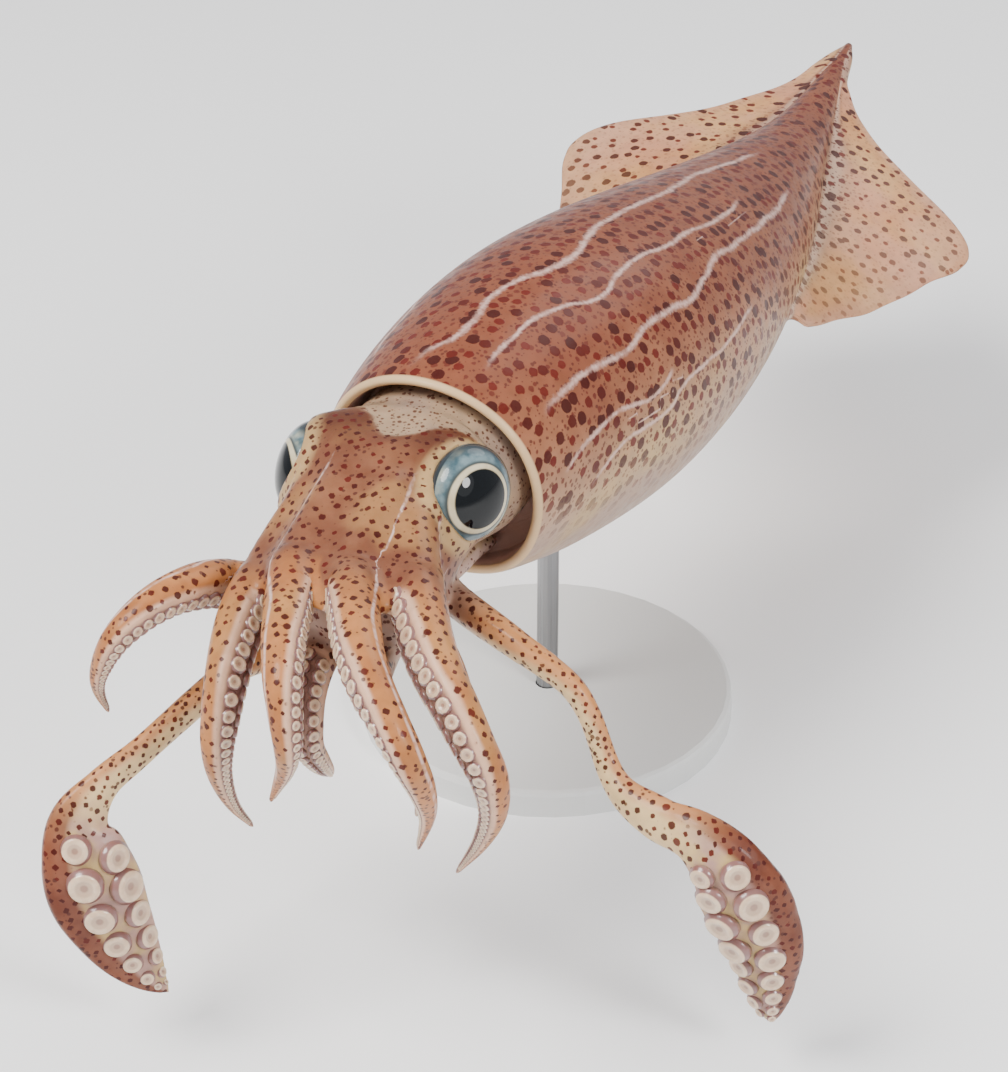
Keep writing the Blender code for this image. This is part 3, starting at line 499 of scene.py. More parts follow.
def spots(finish, where, size, low, high, soft, flat=False, scatter=1.0, less=0.0):
    """Round colour cells of uneven size: 1 inside a spot, 0 between spots."""
    distance, tint = finish.cells(size, where, flat, scatter)
    limit = finish.step(tint, 0.0, 1.0, low, high)
    edge = finish.maths("SUBTRACT", finish.maths("ADD", distance, less), limit)
    return finish.step(edge, -soft, soft, 1.0, 0.0), tint


MOIST_SKIN = {"Roughness": 0.42, "Specular_IOR_Level": 0.14, "Coat_Weight": 0.09,
              "Coat_Roughness": 0.12, "Subsurface_Weight": 0.06, "Subsurface_Scale": 0.002}
BRICK = (0.105, 0.0095, 0.005)
DARK_BRICK = (0.042, 0.0045, 0.003)
# Painted highlight: a pale tint for the glint streaks on the mantle and the glint lines down the
# arms.
PAINTED_GLINT = (0.60, 0.42, 0.37)

f = mantle_finish = Finish("mantle_moist_skin", **MOIST_SKIN)
back, fin_mark = f.mark("back"), f.mark("fin")
mottle = f.noise(38.0, 5.0)
fine_mottle = f.noise(260.0, 4.0)
skin = f.mix(f.step(mottle, 0.36, 0.66), (0.265, 0.104, 0.052), (0.200, 0.070, 0.036))
dorsal = f.step(f.scaled(mottle, 0.35, back), 0.55, 1.12)
skin = f.mix(f.times(dorsal, 0.72), skin, (0.160, 0.042, 0.020))
flank = f.step(f.scaled(mottle, 0.5, back), 0.70, 0.02)
skin = f.mix(flank, skin, (0.39, 0.235, 0.135))
belly = f.step(f.scaled(mottle, 0.4, back), 0.26, -0.28)
skin = f.mix(belly, skin, (0.36, 0.245, 0.185))
yellow = f.step(f.noise(21.0, 2.0), 0.50, 0.66)
skin = f.mix(f.times(yellow, f.times(flank, 0.65)), skin, (0.45, 0.30, 0.115))
fin_tint = f.mix(f.step(mottle, 0.38, 0.62), (0.46, 0.205, 0.078), (0.53, 0.285, 0.120))
rosy = f.step(f.noise(33.0, 3.0), 0.44, 0.62)
fin_tint = f.mix(f.times(rosy, 0.50), fin_tint, (0.50, 0.235, 0.165))
fin_edge = f.step(fin_mark, 0.55, 0.98)
fin_tint = f.mix(f.times(fin_edge, 0.45), fin_tint, (0.46, 0.265, 0.190))
skin = f.mix(f.step(fin_mark, 0.02, 0.30), skin, fin_tint)
fin_root = f.times(f.step(fin_mark, 0.0, 0.03), f.step(fin_mark, 0.16, 0.05))
skin = f.mix(f.times(fin_root, 0.55), skin, (0.56, 0.38, 0.28))
skin = f.grained(skin, fine_mottle)
flat_place = f.node("ShaderNodeCombineXYZ")
f.feed(flat_place.inputs[0], f.mark("flat_along"))
f.feed(flat_place.inputs[1], f.mark("flat_round"))
where = f.shaken(700.0, 0.9, flat_place.outputs[0])
on_fin = f.step(fin_mark, 0.05, 0.30)
big_spots, spot_tint = spots(f, where, 0.205, 0.23, 0.35, 0.028, True, 0.72,
                             f.times(on_fin, 0.085))
mid_spots, _ = spots(f, where, 0.30, 0.06, 0.24, 0.045, True, 0.95)
small_dots, _ = spots(f, where, 0.52, 0.06, 0.26, 0.06, True, 1.0)
fewer = f.step(back, -0.55, 0.10, 0.10, 1.0)
sparse = f.times(fewer, f.scaled(on_fin, -0.60, 1.0))
# Painted highlight: the pale glint streaks, uneven in width and strength, with no spots on them.
glint_streak_line = f.maths("ABSOLUTE", f.maths("ADD", f.mark("glint_streak"), f.step(
    f.noise(95.0, 2.0), 0.2, 0.8, -0.45, 0.45)))
glint_streak_line = f.scaled(f.noise(1100.0, 2.0), 1.1, glint_streak_line)
glint_streak = f.times(f.step(glint_streak_line, 0.45, 1.60, 1.0, 0.0),
                 f.step(f.mark("glint_streak_reach"), 0.02, 0.8))
glint_streak = f.times(glint_streak, f.step(f.noise(420.0, 3.0), 0.30, 0.58, 0.45, 1.0))
no_spots = f.maths("MAXIMUM", f.mark("inside"), f.step(f.mark("lip"), 0.35, 0.8))
bare = f.maths("SUBTRACT", 1.0, f.maths("MAXIMUM", f.step(glint_streak, 0.15, 0.5), no_spots))
spot_red = f.mix(f.step(spot_tint, 0.2, 0.8), BRICK, DARK_BRICK)
dots = f.times(small_dots, f.times(bare, f.times(sparse, 0.75)))
skin = f.mix(dots, skin, (0.070, 0.014, 0.010))
mids = f.times(mid_spots, f.times(bare, f.times(f.times(sparse, sparse), 0.88)))
skin = f.mix(mids, skin, (0.105, 0.020, 0.012))
patches = f.times(big_spots, f.times(bare, f.times(fewer, 0.95)))
skin = f.mix(patches, skin, spot_red)
# Painted highlight: the glint streaks laid over the spots in a pale tint.
skin = f.mix(f.times(glint_streak, 0.74), skin, PAINTED_GLINT)
skin = f.mix(f.step(f.mark("lip"), 0.30, 0.85), skin, (0.55, 0.37, 0.20))
skin = f.mix(f.mark("inside"), skin, (0.52, 0.32, 0.26))
f.set("Base Color", skin)
f.bump(f.scaled(fine_mottle, 0.7, f.times(big_spots, 0.25)), 0.32, 0.0006)
f.set("Roughness", f.step(fine_mottle, 0.3, 0.7, 0.30, 0.48))
body_skin = make_piece("mantle_and_fins_skin", body_bm, mantle_finish)
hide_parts("mantle", "fin_left", "fin_right")


# The head, arms, tentacles and funnel: one skin over soft muscle. The eight arms ring the
# mouth, the two longer tentacles end in flat clubs, and the funnel lies under the neck.
HEAD_STATIONS = [
    (14.0, 0.0, 23.6, 24.0, 2.0, -16.5), (2.0, -0.3, 24.0, 24.2, 2.0, -16.8),
    (-7.0, -1.5, 22.8, 23.0, 4.0, -17.2), (-15.0, -2.5, 23.6, 24.0, 5.0, -18.5),
    (-24.0, -2.5, 23.6, 23.2, 3.0, -21.5), (-33.0, -2.0, 22.6, 18.8, -2.0, -25.5),
    (-40.0, -1.3, 20.6, 12.8, -7.0, -27.5), (-45.0, -0.8, 16.0, 6.0, -9.0, -24.0),
    (-48.0, -0.5, 10.0, -1.5, -9.5, -18.0), (-50.0, -0.5, 4.5, -6.0, -10.0, -14.0),
]
BROW_SWELL = 3.4
BROW_ALONG = -15.0
BROW_REACH = 9.0
BROW_ANGLE = math.radians(50.0)
BROW_SPREAD = math.radians(22.0)
CROWN_DIP = 1.8
HEAD_SIDES = 120
HEAD_ROWS = 130
EYE_RADIUS = 11.6
EYE_HALF_DEPTH = 7.2
EYE_SEGMENTS = (72, 48)
SOCKET_SEGMENTS = (64, 40)
SOCKET_TIGHTER = -0.35
EYE_PLACE = {"left": (19.5, -18.3, 11.9), "right": (-24.5, -18.3, 7.6)}
EYE_FACING = {"left": Vector((0.92, -0.31, 0.25)).normalized(),
              "right": Vector((-0.92, -0.31, 0.25)).normalized()}
LID_RISE = 1.0
LID_REACH = 1.08
LID_SPREAD = 0.16
LID_FAR = 1.6
LID_DEEPEST = -2.0
PUPIL_AHEAD = {"left": 0.17, "right": 0.42}
FUNNEL_STATIONS = [
    (11.0, -20.8, 12.5, 4.2), (4.0, -21.2, 12.0, 4.4), (-3.0, -21.9, 10.5, 4.8),
    (-10.0, -24.0, 8.5, 5.4), (-16.0, -27.0, 7.0, 5.0), (-20.0, -29.6, 6.0, 4.3),
]
FUNNEL_LIP = [(-0.4, 0.95), (-0.6, 0.86), (-0.3, 0.76), (0.6, 0.69), (1.8, 0.64), (4.0, 0.58),
              (7.0, 0.5)]
FUNNEL_LIFT = 0.4
FUNNEL_SIDES = 40
FUNNEL_ROWS = 26
CREST_ALONG = -4.5
CREST_BEND = 3.0
CREST_RISE = 0.9
CREST_FRONT = (1.6, -0.2)
CREST_REAR = (-11.0, -3.0)
CREST_FLANK = (1.9, 1.3)
ARM_TIP_WIDTH = 0.9
ARM_SIDES = 34
ARM_RINGS = 130
ROOT_FLARE = 0.14
RIDGE_EASE = 0.03
RIDGE_RINGS = 36
RIDGE_END = 0.97
AFTER_JOIN = 0.008
ROOT_RINGS, ROOT_SIDES, ROOT_FULL = 14, 20, 0.90
ORAL_DEPTH_SHARE = 0.36
BACK_DEPTH_SHARE = 0.52
BODY_TAPER = 0.06
TAPER_FROM = 0.34
TAPER_STRAIGHT = 0.25
TAPER_POWER = 1.6
TIP_ROUNDING = 0.012
FOLD_ANGLE = math.radians(62.0)
FOLD_SPREAD = math.radians(11.0)
FOLD_RISE = 0.06
KEEL_RISE = 0.03
ARMS = {
    "left_1": {
        "ridge": [(2.2, -19, 14.2), (4.4, -28, 14.7), (5.8, -38, 12.2), (6.6, -47, 9.4)],
        "joins": 0.17,
        "bare": 0.22,
        "width": 12.2,
        "line": [(5.5, -38, 2), (6.4, -48, 5.5), (8.5, -58, 7.5), (16.5, -72, 8.2), (24, -84, 8),
                 (31, -92, 6), (38, -97, 1.5), (43, -98, -6), (43.8, -93, -17),
                 (41.5, -86, -30), (36, -80, -45.5)],
        "oral": [(-0.6, -0.4, -0.6), (-0.8, -0.45, -0.1), (-0.85, -0.4, 0.0)],
    },
    "right_1": {
        "ridge": [(-5.6, -19, 14.2), (-6.2, -28, 14.6), (-6.5, -38, 11.9), (-6.4, -45.5, 9)],
        "joins": 0.19,
        "bare": 0.22,
        "width": 11.8,
        "line": [(-5.6, -38, 2), (-6.3, -48, 6), (-5.4, -57, 7.1), (-1.5, -67, 6.4), (2.5, -76, 6),
                 (6.5, -85, 5), (10.5, -93, 2), (13, -97, -5), (13.2, -97, -13),
                 (10, -93, -22), (5.5, -89.5, -31), (1.9, -87, -38)],
        "oral": [(0.6, -0.1, -0.7), (0.95, 0.15, -0.1), (0.95, 0.2, 0.1)],
    },
    "left_2": {
        "ridge": [(8, -21, 13), (10.2, -30, 10.4), (13.6, -38, 8.8), (17.2, -44.3, 7)],
        "joins": 0.17,
        "bare": 0.20,
        "width": 12.8,
        "line": [(13, -36, 0), (17.5, -43, 3.2), (21, -51, 6), (26, -59, 5.5), (32, -67, 3),
                 (38.5, -74, 0), (45.5, -79.5, -3.5), (51.5, -82.5, -10), (55, -82, -18),
                 (54, -78, -30), (48.8, -73.5, -43.5), (40.7, -70, -57.8)],
        "oral": [(-0.5, -0.6, -0.3), (-0.45, -0.75, 0.15), (-0.6, -0.7, 0.2)],
    },
    "right_2": {
        "ridge": [(-10.5, -21, 12.6), (-13.8, -30, 9.8), (-15.4, -38, 4.6), (-16.4, -44, 0.9)],
        "joins": 0.19,
        "bare": 0.20,
        "width": 12.2,
        "line": [(-13, -36, -4.5), (-16.6, -45.5, -2.2), (-16.6, -56, -2.6), (-15.4, -66, -5),
                 (-13, -75, -8), (-11, -82, -12), (-10.4, -86, -18), (-11.2, -87, -26),
                 (-13, -84, -37), (-13.3, -79, -49), (-11, -74, -58.6)],
        "oral": [(0.7, -0.2, -0.5), (0.9, 0.0, 0.25), (0.95, 0.0, 0.2)],
    },
    "left_3": {
        "ridge": [(12, -24, -3.5), (13.6, -30, -5.6), (15.4, -36, -8)],
        "joins": 0.24,
        "bare": 0.20,
        "width": 12.2,
        "line": [(11, -30, -9), (14.5, -37, -10), (20, -46, -9.3), (27, -55, -8.6),
                 (34, -62.5, -9), (40, -68, -13), (45, -70, -20), (46.5, -68, -29),
                 (45, -63, -41), (42, -58.5, -54)],
        "oral": [(-0.3, -0.5, -0.8), (-0.7, -0.1, -0.7), (-0.95, 0.0, 0.1)],
    },
    "right_3": {
        "ridge": [(-16, -24, -7.5), (-18.6, -30, -10), (-20.6, -35.5, -12.8)],
        "joins": 0.26,
        "bare": 0.20,
        "width": 12.2,
        "line": [(-14, -29, -14), (-20.5, -37, -15.5), (-26.5, -47, -10.5), (-30, -58, -5),
                 (-33, -68, -2.8), (-36, -76, -3.6), (-39.8, -82, -8), (-44.2, -83, -16.7),
                 (-46.9, -81, -25), (-46.6, -78, -33.5)],
        "oral": [(0.3, -0.5, -0.8), (0.5, -0.4, -0.7), (0.95, 0.1, 0.1)],
    },
    "left_4": {
        "bare": 0.24,
        "width": 10.6,
        "line": [(5.5, -33, -20), (6.5, -42, -22.5), (9, -51, -22.5), (14, -60, -21),
                 (20, -66, -21.5), (25, -68, -26.5), (27.5, -66, -35), (27, -61, -46),
                 (24, -57, -56)],
        "oral": [(-0.2, -0.3, 0.9), (-0.5, -0.8, 0.2), (-0.6, -0.8, 0.0)],
    },
    "right_4": {
        "bare": 0.24,
        "width": 9.9,
        "line": [(-6.2, -33, -19.8), (-6.2, -42, -22.2), (-5.9, -50, -24.7), (-4.5, -57, -28.5),
                 (-3, -61, -34.5), (-3, -60, -42), (-3.8, -54, -50.5), (-6, -46, -59),
                 (-9.5, -38, -67)],
        "oral": [(0.3, -0.4, 0.9), (0.4, -0.85, 0.4), (0.3, -0.9, 0.2)],
    },
}
TENTACLES = {
    "left": {
        "bare": 0.66,
        "outer": 1.0,
        "line": [(9, -20, -12), (19, -27, -13), (26.5, -32.5, -12), (40.9, -38, -13.6),
                 (54.9, -40, -18.6), (61, -41, -25), (64.4, -42, -31.8), (68, -44, -37.5),
                 (73.4, -47, -40.6), (83.5, -50, -42.4), (92.5, -52, -42.3), (100, -53, -46.5),
                 (104.3, -52, -54), (107.3, -50, -62.6), (109.4, -48, -71), (109.9, -46, -81),
                 (110.3, -44, -90), (110.3, -42, -100)],
        "width": [(0.0, 9.5), (0.2, 8.8), (0.31, 6.8), (0.4, 6.0), (0.46, 6.8), (0.53, 10.5),
                  (0.6, 12.5), (0.66, 17.0), (0.72, 21.5), (0.79, 21.0), (0.86, 17.5),
                  (0.92, 12.5), (0.965, 7.0), (1.0, 1.0)],
        "flat": [(0.0, 0.86), (0.5, 0.8), (0.68, 0.42), (0.9, 0.42), (1.0, 0.8)],
        "oral": [(-0.4, -0.4, -0.8), (0.16, -0.85, 0.3), (0.16, -0.81, 0.5)],
    },
    "right": {
        "bare": 0.665,
        "outer": -1.0,
        "line": [(-9.6, -26, -20.5), (-17.0, -36, -27.6), (-20.2, -46, -29.2), (-22.5, -58, -26.5),
                 (-27.1, -70, -29.7), (-34.1, -85, -36.6), (-38.8, -94.5, -41),
                 (-41.5, -101, -47.9), (-39, -104, -56), (-35.9, -104, -67.5),
                 (-31.7, -101, -81.9), (-27.6, -98, -92), (-23.9, -96, -97.5)],
        "width": [(0.0, 8.8), (0.3, 8.0), (0.5, 7.2), (0.56, 8.5), (0.61, 13.0), (0.67, 19.5),
                  (0.74, 22.8), (0.82, 20.0), (0.89, 15.5), (0.95, 9.0), (1.0, 1.0)],
        "flat": [(0.0, 0.86), (0.54, 0.8), (0.66, 0.42), (0.9, 0.42), (1.0, 0.8)],
        "oral": [(0.3, -0.4, -0.8), (0.5, -0.6, 0.1), (0.62, -0.6, 0.5)],
    },
}
TENTACLE_SIDES = 44
TENTACLE_RINGS = 240
TENTACLE_ORAL_DEPTH = 0.45
TENTACLE_BACK_DEPTH = 0.55
LINE_STEP = 0.004
# Two arms and how far along them the web that bridges them reaches.
WEBS = [("left_1", "right_1", 0.31), ("left_1", "left_2", 0.26), ("right_1", "right_2", 0.26),
        ("right_2", "right_3", 0.24), ("left_2", "left_3", 0.25)]
WEB_FULL = 0.88
WEB_THIN = 0.30
WEB_SIDES = 28
WEB_ON_RIDGE = (0.30, 0.94, 16)
WEB_ON_ARM = (0.01, 1.0, 14)
WEB_DEPTHS = ([0.0, 0.42, 0.70, 1.0], [WEB_FULL, 0.9 * WEB_FULL, 0.50, WEB_THIN])
WEB_END = 0.08
WEB_SQUARED = 0.55
WEB_ORAL_SHARE = 0.6


def limb_frames(limb, shares):
    """Middle, side, oral direction and forward direction at each share of a limb's length."""
    line = limb["line"]
    middles = curve_through(line, shares)
    forward = (curve_through(line, np.clip(shares + LINE_STEP, 0.0, 1.0))
               - curve_through(line, np.clip(shares - LINE_STEP, 0.0, 1.0)))
    forward /= np.linalg.norm(forward, axis=1)[:, None]
    oral = np.array(limb["oral"], float)
    wish = np.stack([np.interp(shares, [0.0, 0.5, 1.0], oral[:, k]) for k in range(3)], axis=1)
    side = np.cross(wish, forward)
    side /= np.linalg.norm(side, axis=1)[:, None]
    return middles, side, np.cross(forward, side), forward


def limb_sizes(limb, shares):
    """Width, depth to the sucker face and depth to the back at each share."""
    if "steady" in limb:
        width = np.full(len(shares), limb["steady"])
        return width, ORAL_DEPTH_SHARE * width, BACK_DEPTH_SHARE * width
    if "flat" in limb:
        width = value_through(limb["width"], shares)
        thick = width * np.interp(shares, *zip(*limb["flat"]))
        return width, TENTACLE_ORAL_DEPTH * thick, TENTACLE_BACK_DEPTH * thick
    flare = ROOT_FLARE * np.clip(1.0 - shares / TAPER_FROM, 0.0, None)
    body = limb["width"] * (1.0 + flare - BODY_TAPER * shares)
    taper = np.clip((shares - TAPER_FROM) / (1.0 - TAPER_FROM), 0.0, 1.0)
    thinner = TAPER_STRAIGHT * taper + (1.0 - TAPER_STRAIGHT) * taper ** TAPER_POWER
    width = body + (ARM_TIP_WIDTH - body) * thinner
    return width, ORAL_DEPTH_SHARE * width, BACK_DEPTH_SHARE * width


def limb_rings(limb, shares, sides, fuller=1.0):
    """Rings of a limb: an oval with a low fold on each side of the sucker face, made fuller or
    thinner by a factor."""
    middles, side, facing, _ = limb_frames(limb, shares)
    width, oral_depth, back_depth = (size[:, None] for size in limb_sizes(limb, shares))
    angles = 2 * math.pi * (np.arange(sides) + 0.5) / sides
    lift, across = np.cos(angles)[None], np.sin(angles)[None]
    from_fold = np.minimum(np.abs(angles - FOLD_ANGLE), np.abs(2 * math.pi - angles - FOLD_ANGLE))
    swell = fuller * (1.0 + FOLD_RISE * np.exp(-(from_fold / FOLD_SPREAD) ** 2)
                      + KEEL_RISE * np.exp(-((angles - math.pi) / FOLD_SPREAD) ** 2))
    depth = np.where(lift > 0.0, oral_depth, back_depth)
    end = np.sqrt(np.clip((1.0 - shares) / TIP_ROUNDING, 0.0, 1.0))[:, None]
    return (middles[:, None] + side[:, None] * (0.5 * width * across * swell * end)[..., None]
            + facing[:, None] * (depth * lift * swell * end)[..., None])


def ridge_limb(arm):
    """The raised start of an arm on the head, as a limb of one width."""
    joins = arm["joins"]
    ahead = curve_through(arm["line"], np.array([joins - RIDGE_EASE, joins]))
    width = float(limb_sizes(arm, np.array([joins]))[0][0])
    orals = np.array([np.interp(2.0 * joins, [0.0, 1.0], pair)
                      for pair in zip(arm["oral"][0], arm["oral"][1])])
    return {"line": np.vstack([arm["ridge"], ahead]), "steady": width,
            "oral": [arm["oral"][0], 0.5 * (np.array(arm["oral"][0]) + orals), orals]}


def arm_rings(arm):
    """An arm from under the brow, or from inside the head where it raises no ridge."""
    if "ridge" not in arm:
        return limb_rings(arm, np.linspace(0.0, 1.0, ARM_RINGS), ARM_SIDES)
    raised = limb_rings(ridge_limb(arm), np.linspace(0.0, RIDGE_END, RIDGE_RINGS), ARM_SIDES)
    free = limb_rings(arm, np.linspace(arm["joins"] + AFTER_JOIN, 1.0, ARM_RINGS), ARM_SIDES)
    return np.concatenate([raised, free])


def web_rings(first, second, end):
    """A web of skin and muscle that bridges two neighbouring arms down to their crotch."""
    raised, free = np.linspace(*WEB_ON_RIDGE), np.linspace(*WEB_ON_ARM)
    runs = []
    for arm in (ARMS[first], ARMS[second]):
        spans = [limb_frames(ridge_limb(arm), raised),
                 limb_frames(arm, arm["joins"] + free * (end - arm["joins"]))]
        backs = [limb_sizes(ridge_limb(arm), raised)[2], limb_sizes(arm, free * end)[2]]
        runs.append((np.vstack([span[0] for span in spans]),
                     np.vstack([span[2] for span in spans]), np.concatenate(backs)))
    middles = 0.5 * (runs[0][0] + runs[1][0])
    across = 0.5 * (runs[1][0] - runs[0][0])
    facing = runs[0][1] + runs[1][1]
    facing -= across * ((facing * across).sum(axis=1) / (across * across).sum(axis=1))[:, None]
    facing /= np.linalg.norm(facing, axis=1)[:, None]
    run = np.linspace(0.0, 1.0, len(middles))
    full = np.interp(run, *WEB_DEPTHS)
    ease = np.sqrt(np.clip((1.0 - run) / WEB_END, 0.05, 1.0))
    depth = 0.5 * (runs[0][2] + runs[1][2]) * full * ease
    angles = 2 * math.pi * (np.arange(WEB_SIDES) + 0.5) / WEB_SIDES
    wide, deep = np.sin(angles), np.cos(angles)
    deep = np.sign(deep) * np.abs(deep) ** WEB_SQUARED * np.where(deep > 0.0, WEB_ORAL_SHARE, 1.0)
    return (middles[:, None] + across[:, None] * wide[None, :, None]
            + facing[:, None] * (depth[:, None] * deep)[..., None])


def head_rings():
    """Rings of the head from inside the mantle to the mouth, with brows and the neck's crest."""
    alongs = np.linspace(HEAD_STATIONS[0][0], HEAD_STATIONS[-1][0], HEAD_ROWS)[:, None]
    sizes = [value_through([(-row[0], row[k]) for row in HEAD_STATIONS], -alongs)
             for k in range(1, 6)]
    middle, half_width, top, level, bottom = sizes
    angles = (2 * math.pi * np.arange(HEAD_SIDES) / HEAD_SIDES)[None]
    from_top = np.abs((angles + math.pi) % (2 * math.pi) - math.pi)
    swell = np.exp(-((alongs - BROW_ALONG) / BROW_REACH) ** 2) * (
        BROW_SWELL * np.exp(-((from_top - BROW_ANGLE) / BROW_SPREAD) ** 2)
        - CROWN_DIP * np.exp(-(from_top / BROW_SPREAD) ** 2))
    crest_line = CREST_ALONG - CREST_BEND * np.sin(from_top * 0.9) ** 2
    crest = CREST_RISE * soft_step(alongs, *(crest_line + edge for edge in CREST_FRONT))
    crest = crest * soft_step(alongs, *(crest_line + edge for edge in CREST_REAR))
    swell = swell + crest * soft_step(from_top, *CREST_FLANK)
    tall = np.where(np.cos(angles) > 0.0, top - level, level - bottom)
    across = middle + (half_width + swell) * np.sin(angles)
    height = level + (tall + swell) * np.cos(angles)
    return np.stack([across, np.broadcast_to(alongs, across.shape), height], axis=-1)


def funnel_rings():
    """Rings of the funnel from under the neck out round its lip and back into its bore."""
    stations = np.array(FUNNEL_STATIONS[::-1], float)
    alongs = np.linspace(FUNNEL_STATIONS[0][0], FUNNEL_STATIONS[-1][0], FUNNEL_ROWS)
    rows = [(along, 1.0) for along in alongs]
    mouth = FUNNEL_STATIONS[-1][0]
    rows += [(mouth + depth, share) for depth, share in FUNNEL_LIP]
    angles = 2 * math.pi * np.arange(FUNNEL_SIDES) / FUNNEL_SIDES
    rings = []
    for along, share in rows:
        level, half_width, half_height = (
            float(value_through(np.stack([stations[:, 0], stations[:, k]], axis=1), along))
            for k in (1, 2, 3))
        rings.append(np.stack([half_width * share * np.sin(angles),
                               np.full(FUNNEL_SIDES, along),
                               level + FUNNEL_LIFT + half_height * share * np.cos(angles)], axis=1))
    return np.array(rings)


def loose_solid(name, bm):
    """A solid that isn't in the scene yet."""
    return bpy.data.objects.new(name, mesh_from(name, bm))


def combined(first, others, operation):
    """One Boolean of a solid with several others, whose objects are then removed."""
    group = bpy.data.collections.new("joining")
    bpy.context.scene.collection.children.link(group)
    bpy.context.scene.collection.objects.link(first)
    for other in others:
        group.objects.link(other)
    modifier = first.modifiers.new("join", "BOOLEAN")
    modifier.operation = operation
    modifier.solver = "MANIFOLD"
    modifier.operand_type = "COLLECTION"
    modifier.collection = group
    bpy.context.view_layer.update()
    joined = bpy.data.meshes.new_from_object(
        first.evaluated_get(bpy.context.evaluated_depsgraph_get()))
    for solid in [first, *others]:
        bpy.data.objects.remove(solid, do_unlink=True)
    bpy.data.collections.remove(group)
    return joined


def eye_shape(side, grow, segments, rings):
    """A flattened ball at the eye's place; grow widens it in millimetres."""
    bm = bmesh.new()
    gaze = bm.verts.layers.float.new("gaze")
    bmesh.ops.create_uvsphere(bm, u_segments=segments, v_segments=rings, radius=1.0)
    ahead = EYE_FACING[side].to_track_quat("Z", "Y").inverted() @ Vector(
        (0.0, -PUPIL_AHEAD[side], 0.0))
    for vert in bm.verts:
        radial = math.hypot(vert.co.x - ahead.x, vert.co.y - ahead.y)
        vert[gaze] = radial if vert.co.z > 0.0 else 2.0 - radial
    across = (EYE_RADIUS + grow) * MILLIMETRE
    size = Matrix.Diagonal((across, across, (EYE_HALF_DEPTH + grow) * MILLIMETRE, 1.0))
    turn = EYE_FACING[side].to_track_quat("Z", "Y").to_matrix().to_4x4()
    place = Matrix.Translation((Vector(EYE_PLACE[side]) + Vector(BODY_PLACE)) * MILLIMETRE)
    bmesh.ops.transform(bm, matrix=place @ turn @ size, verts=bm.verts)
    return bm


limbs = list(ARMS.values()) + list(TENTACLES.values())
soft_parts = [loose_solid("arm", skin_from_rings(arm_rings(arm), {})) for arm in ARMS.values()]
soft_parts += [loose_solid("arm_root", skin_from_rings(limb_rings(
    arm, np.linspace(0.0, arm["joins"], ROOT_RINGS), ROOT_SIDES, ROOT_FULL), {}))
    for arm in ARMS.values() if "ridge" in arm]
soft_parts += [loose_solid("tentacle", skin_from_rings(limb_rings(
    tentacle, np.linspace(0.0, 1.0, TENTACLE_RINGS), TENTACLE_SIDES), {}))
    for tentacle in TENTACLES.values()]
soft_parts += [loose_solid("web", skin_from_rings(web_rings(*web), {})) for web in WEBS]
soft_parts.append(loose_solid("spout", skin_from_rings(funnel_rings(), {})))
whole = combined(loose_solid("crown", skin_from_rings(head_rings(), {})), soft_parts, "UNION")
sockets = [loose_solid("socket", eye_shape(side, SOCKET_TIGHTER, *SOCKET_SEGMENTS))
           for side in EYE_PLACE]
whole = combined(bpy.data.objects.new("whole", whole), sockets, "DIFFERENCE")

# Where a limb leaves the head the join is smoothed, most along the crease itself: each band is
# a distance from the crease and how often it is smoothed. The funnel's mouth is left crisp.
CREASE_ANGLE = math.radians(24.0)
CREASE_BANDS = [(4.6, 4), (3.2, 6), (2.0, 8), (1.1, 8)]
JOIN_FRONT = -66.0
JOIN_BACK = 8.0
CLEAR_OF_EYES = 1.12
MOUTH_HALF_WIDTH = 7.5
MOUTH_ALONG = (-23.0, -17.5)
MOUTH_TOP = -23.0
DOUBLE_GAP = 0.06
SLIVER = 0.02
crown_bm = bmesh.new()
crown_bm.from_mesh(whole)
bmesh.ops.remove_doubles(crown_bm, verts=crown_bm.verts, dist=DOUBLE_GAP * MILLIMETRE)
bmesh.ops.dissolve_degenerate(crown_bm, dist=SLIVER * MILLIMETRE, edges=crown_bm.edges)
bmesh.ops.triangulate(crown_bm, faces=crown_bm.faces)
crown_bm.normal_update()


def search_tree(places):
    """A tree that finds the nearest of the places, by its number."""
    tree = kdtree.KDTree(len(places))
    for k, place in enumerate(places):
        tree.insert(Vector(place), k)
    tree.balance()
    return tree


def body_place(vert):
    """A vertex's place in the model's own millimetres."""
    return np.array(vert.co) / MILLIMETRE - BODY_PLACE


def eye_reach(place, side):
    """How far a place lies from an eye's middle, in that eye's own half sizes."""
    away = Vector(place) - Vector(EYE_PLACE[side])
    deep = away.dot(EYE_FACING[side])
    flat = (away - deep * EYE_FACING[side]).length
    return math.hypot(flat / EYE_RADIUS, deep / EYE_HALF_DEPTH), deep


def in_join(vert):
    """Whether a vertex lies where joins are smoothed: off the eyes and the funnel's mouth."""
    place = body_place(vert)
    if place[1] < JOIN_FRONT or place[1] > JOIN_BACK:
        return False
    in_mouth = MOUTH_ALONG[0] < place[1] < MOUTH_ALONG[1] and place[2] < MOUTH_TOP
    if in_mouth and abs(place[0]) < MOUTH_HALF_WIDTH:
        return False
    return min(eye_reach(place, side)[0] for side in EYE_PLACE) > CLEAR_OF_EYES


crease_verts = {vert for edge in crown_bm.edges
                if edge.is_manifold and abs(edge.calc_face_angle()) > CREASE_ANGLE
                for vert in edge.verts if in_join(vert)}
crease_tree = search_tree([vert.co for vert in crease_verts])
near_crease = {vert: crease_tree.find(vert.co)[2] / MILLIMETRE
               for vert in crown_bm.verts if in_join(vert)}
for band, rounds in CREASE_BANDS:
    close = [vert for vert, gap in near_crease.items() if gap < band]
    for _ in range(rounds):
        bmesh.ops.smooth_vert(crown_bm, verts=close, factor=0.5,
                              use_axis_x=True, use_axis_y=True, use_axis_z=True)

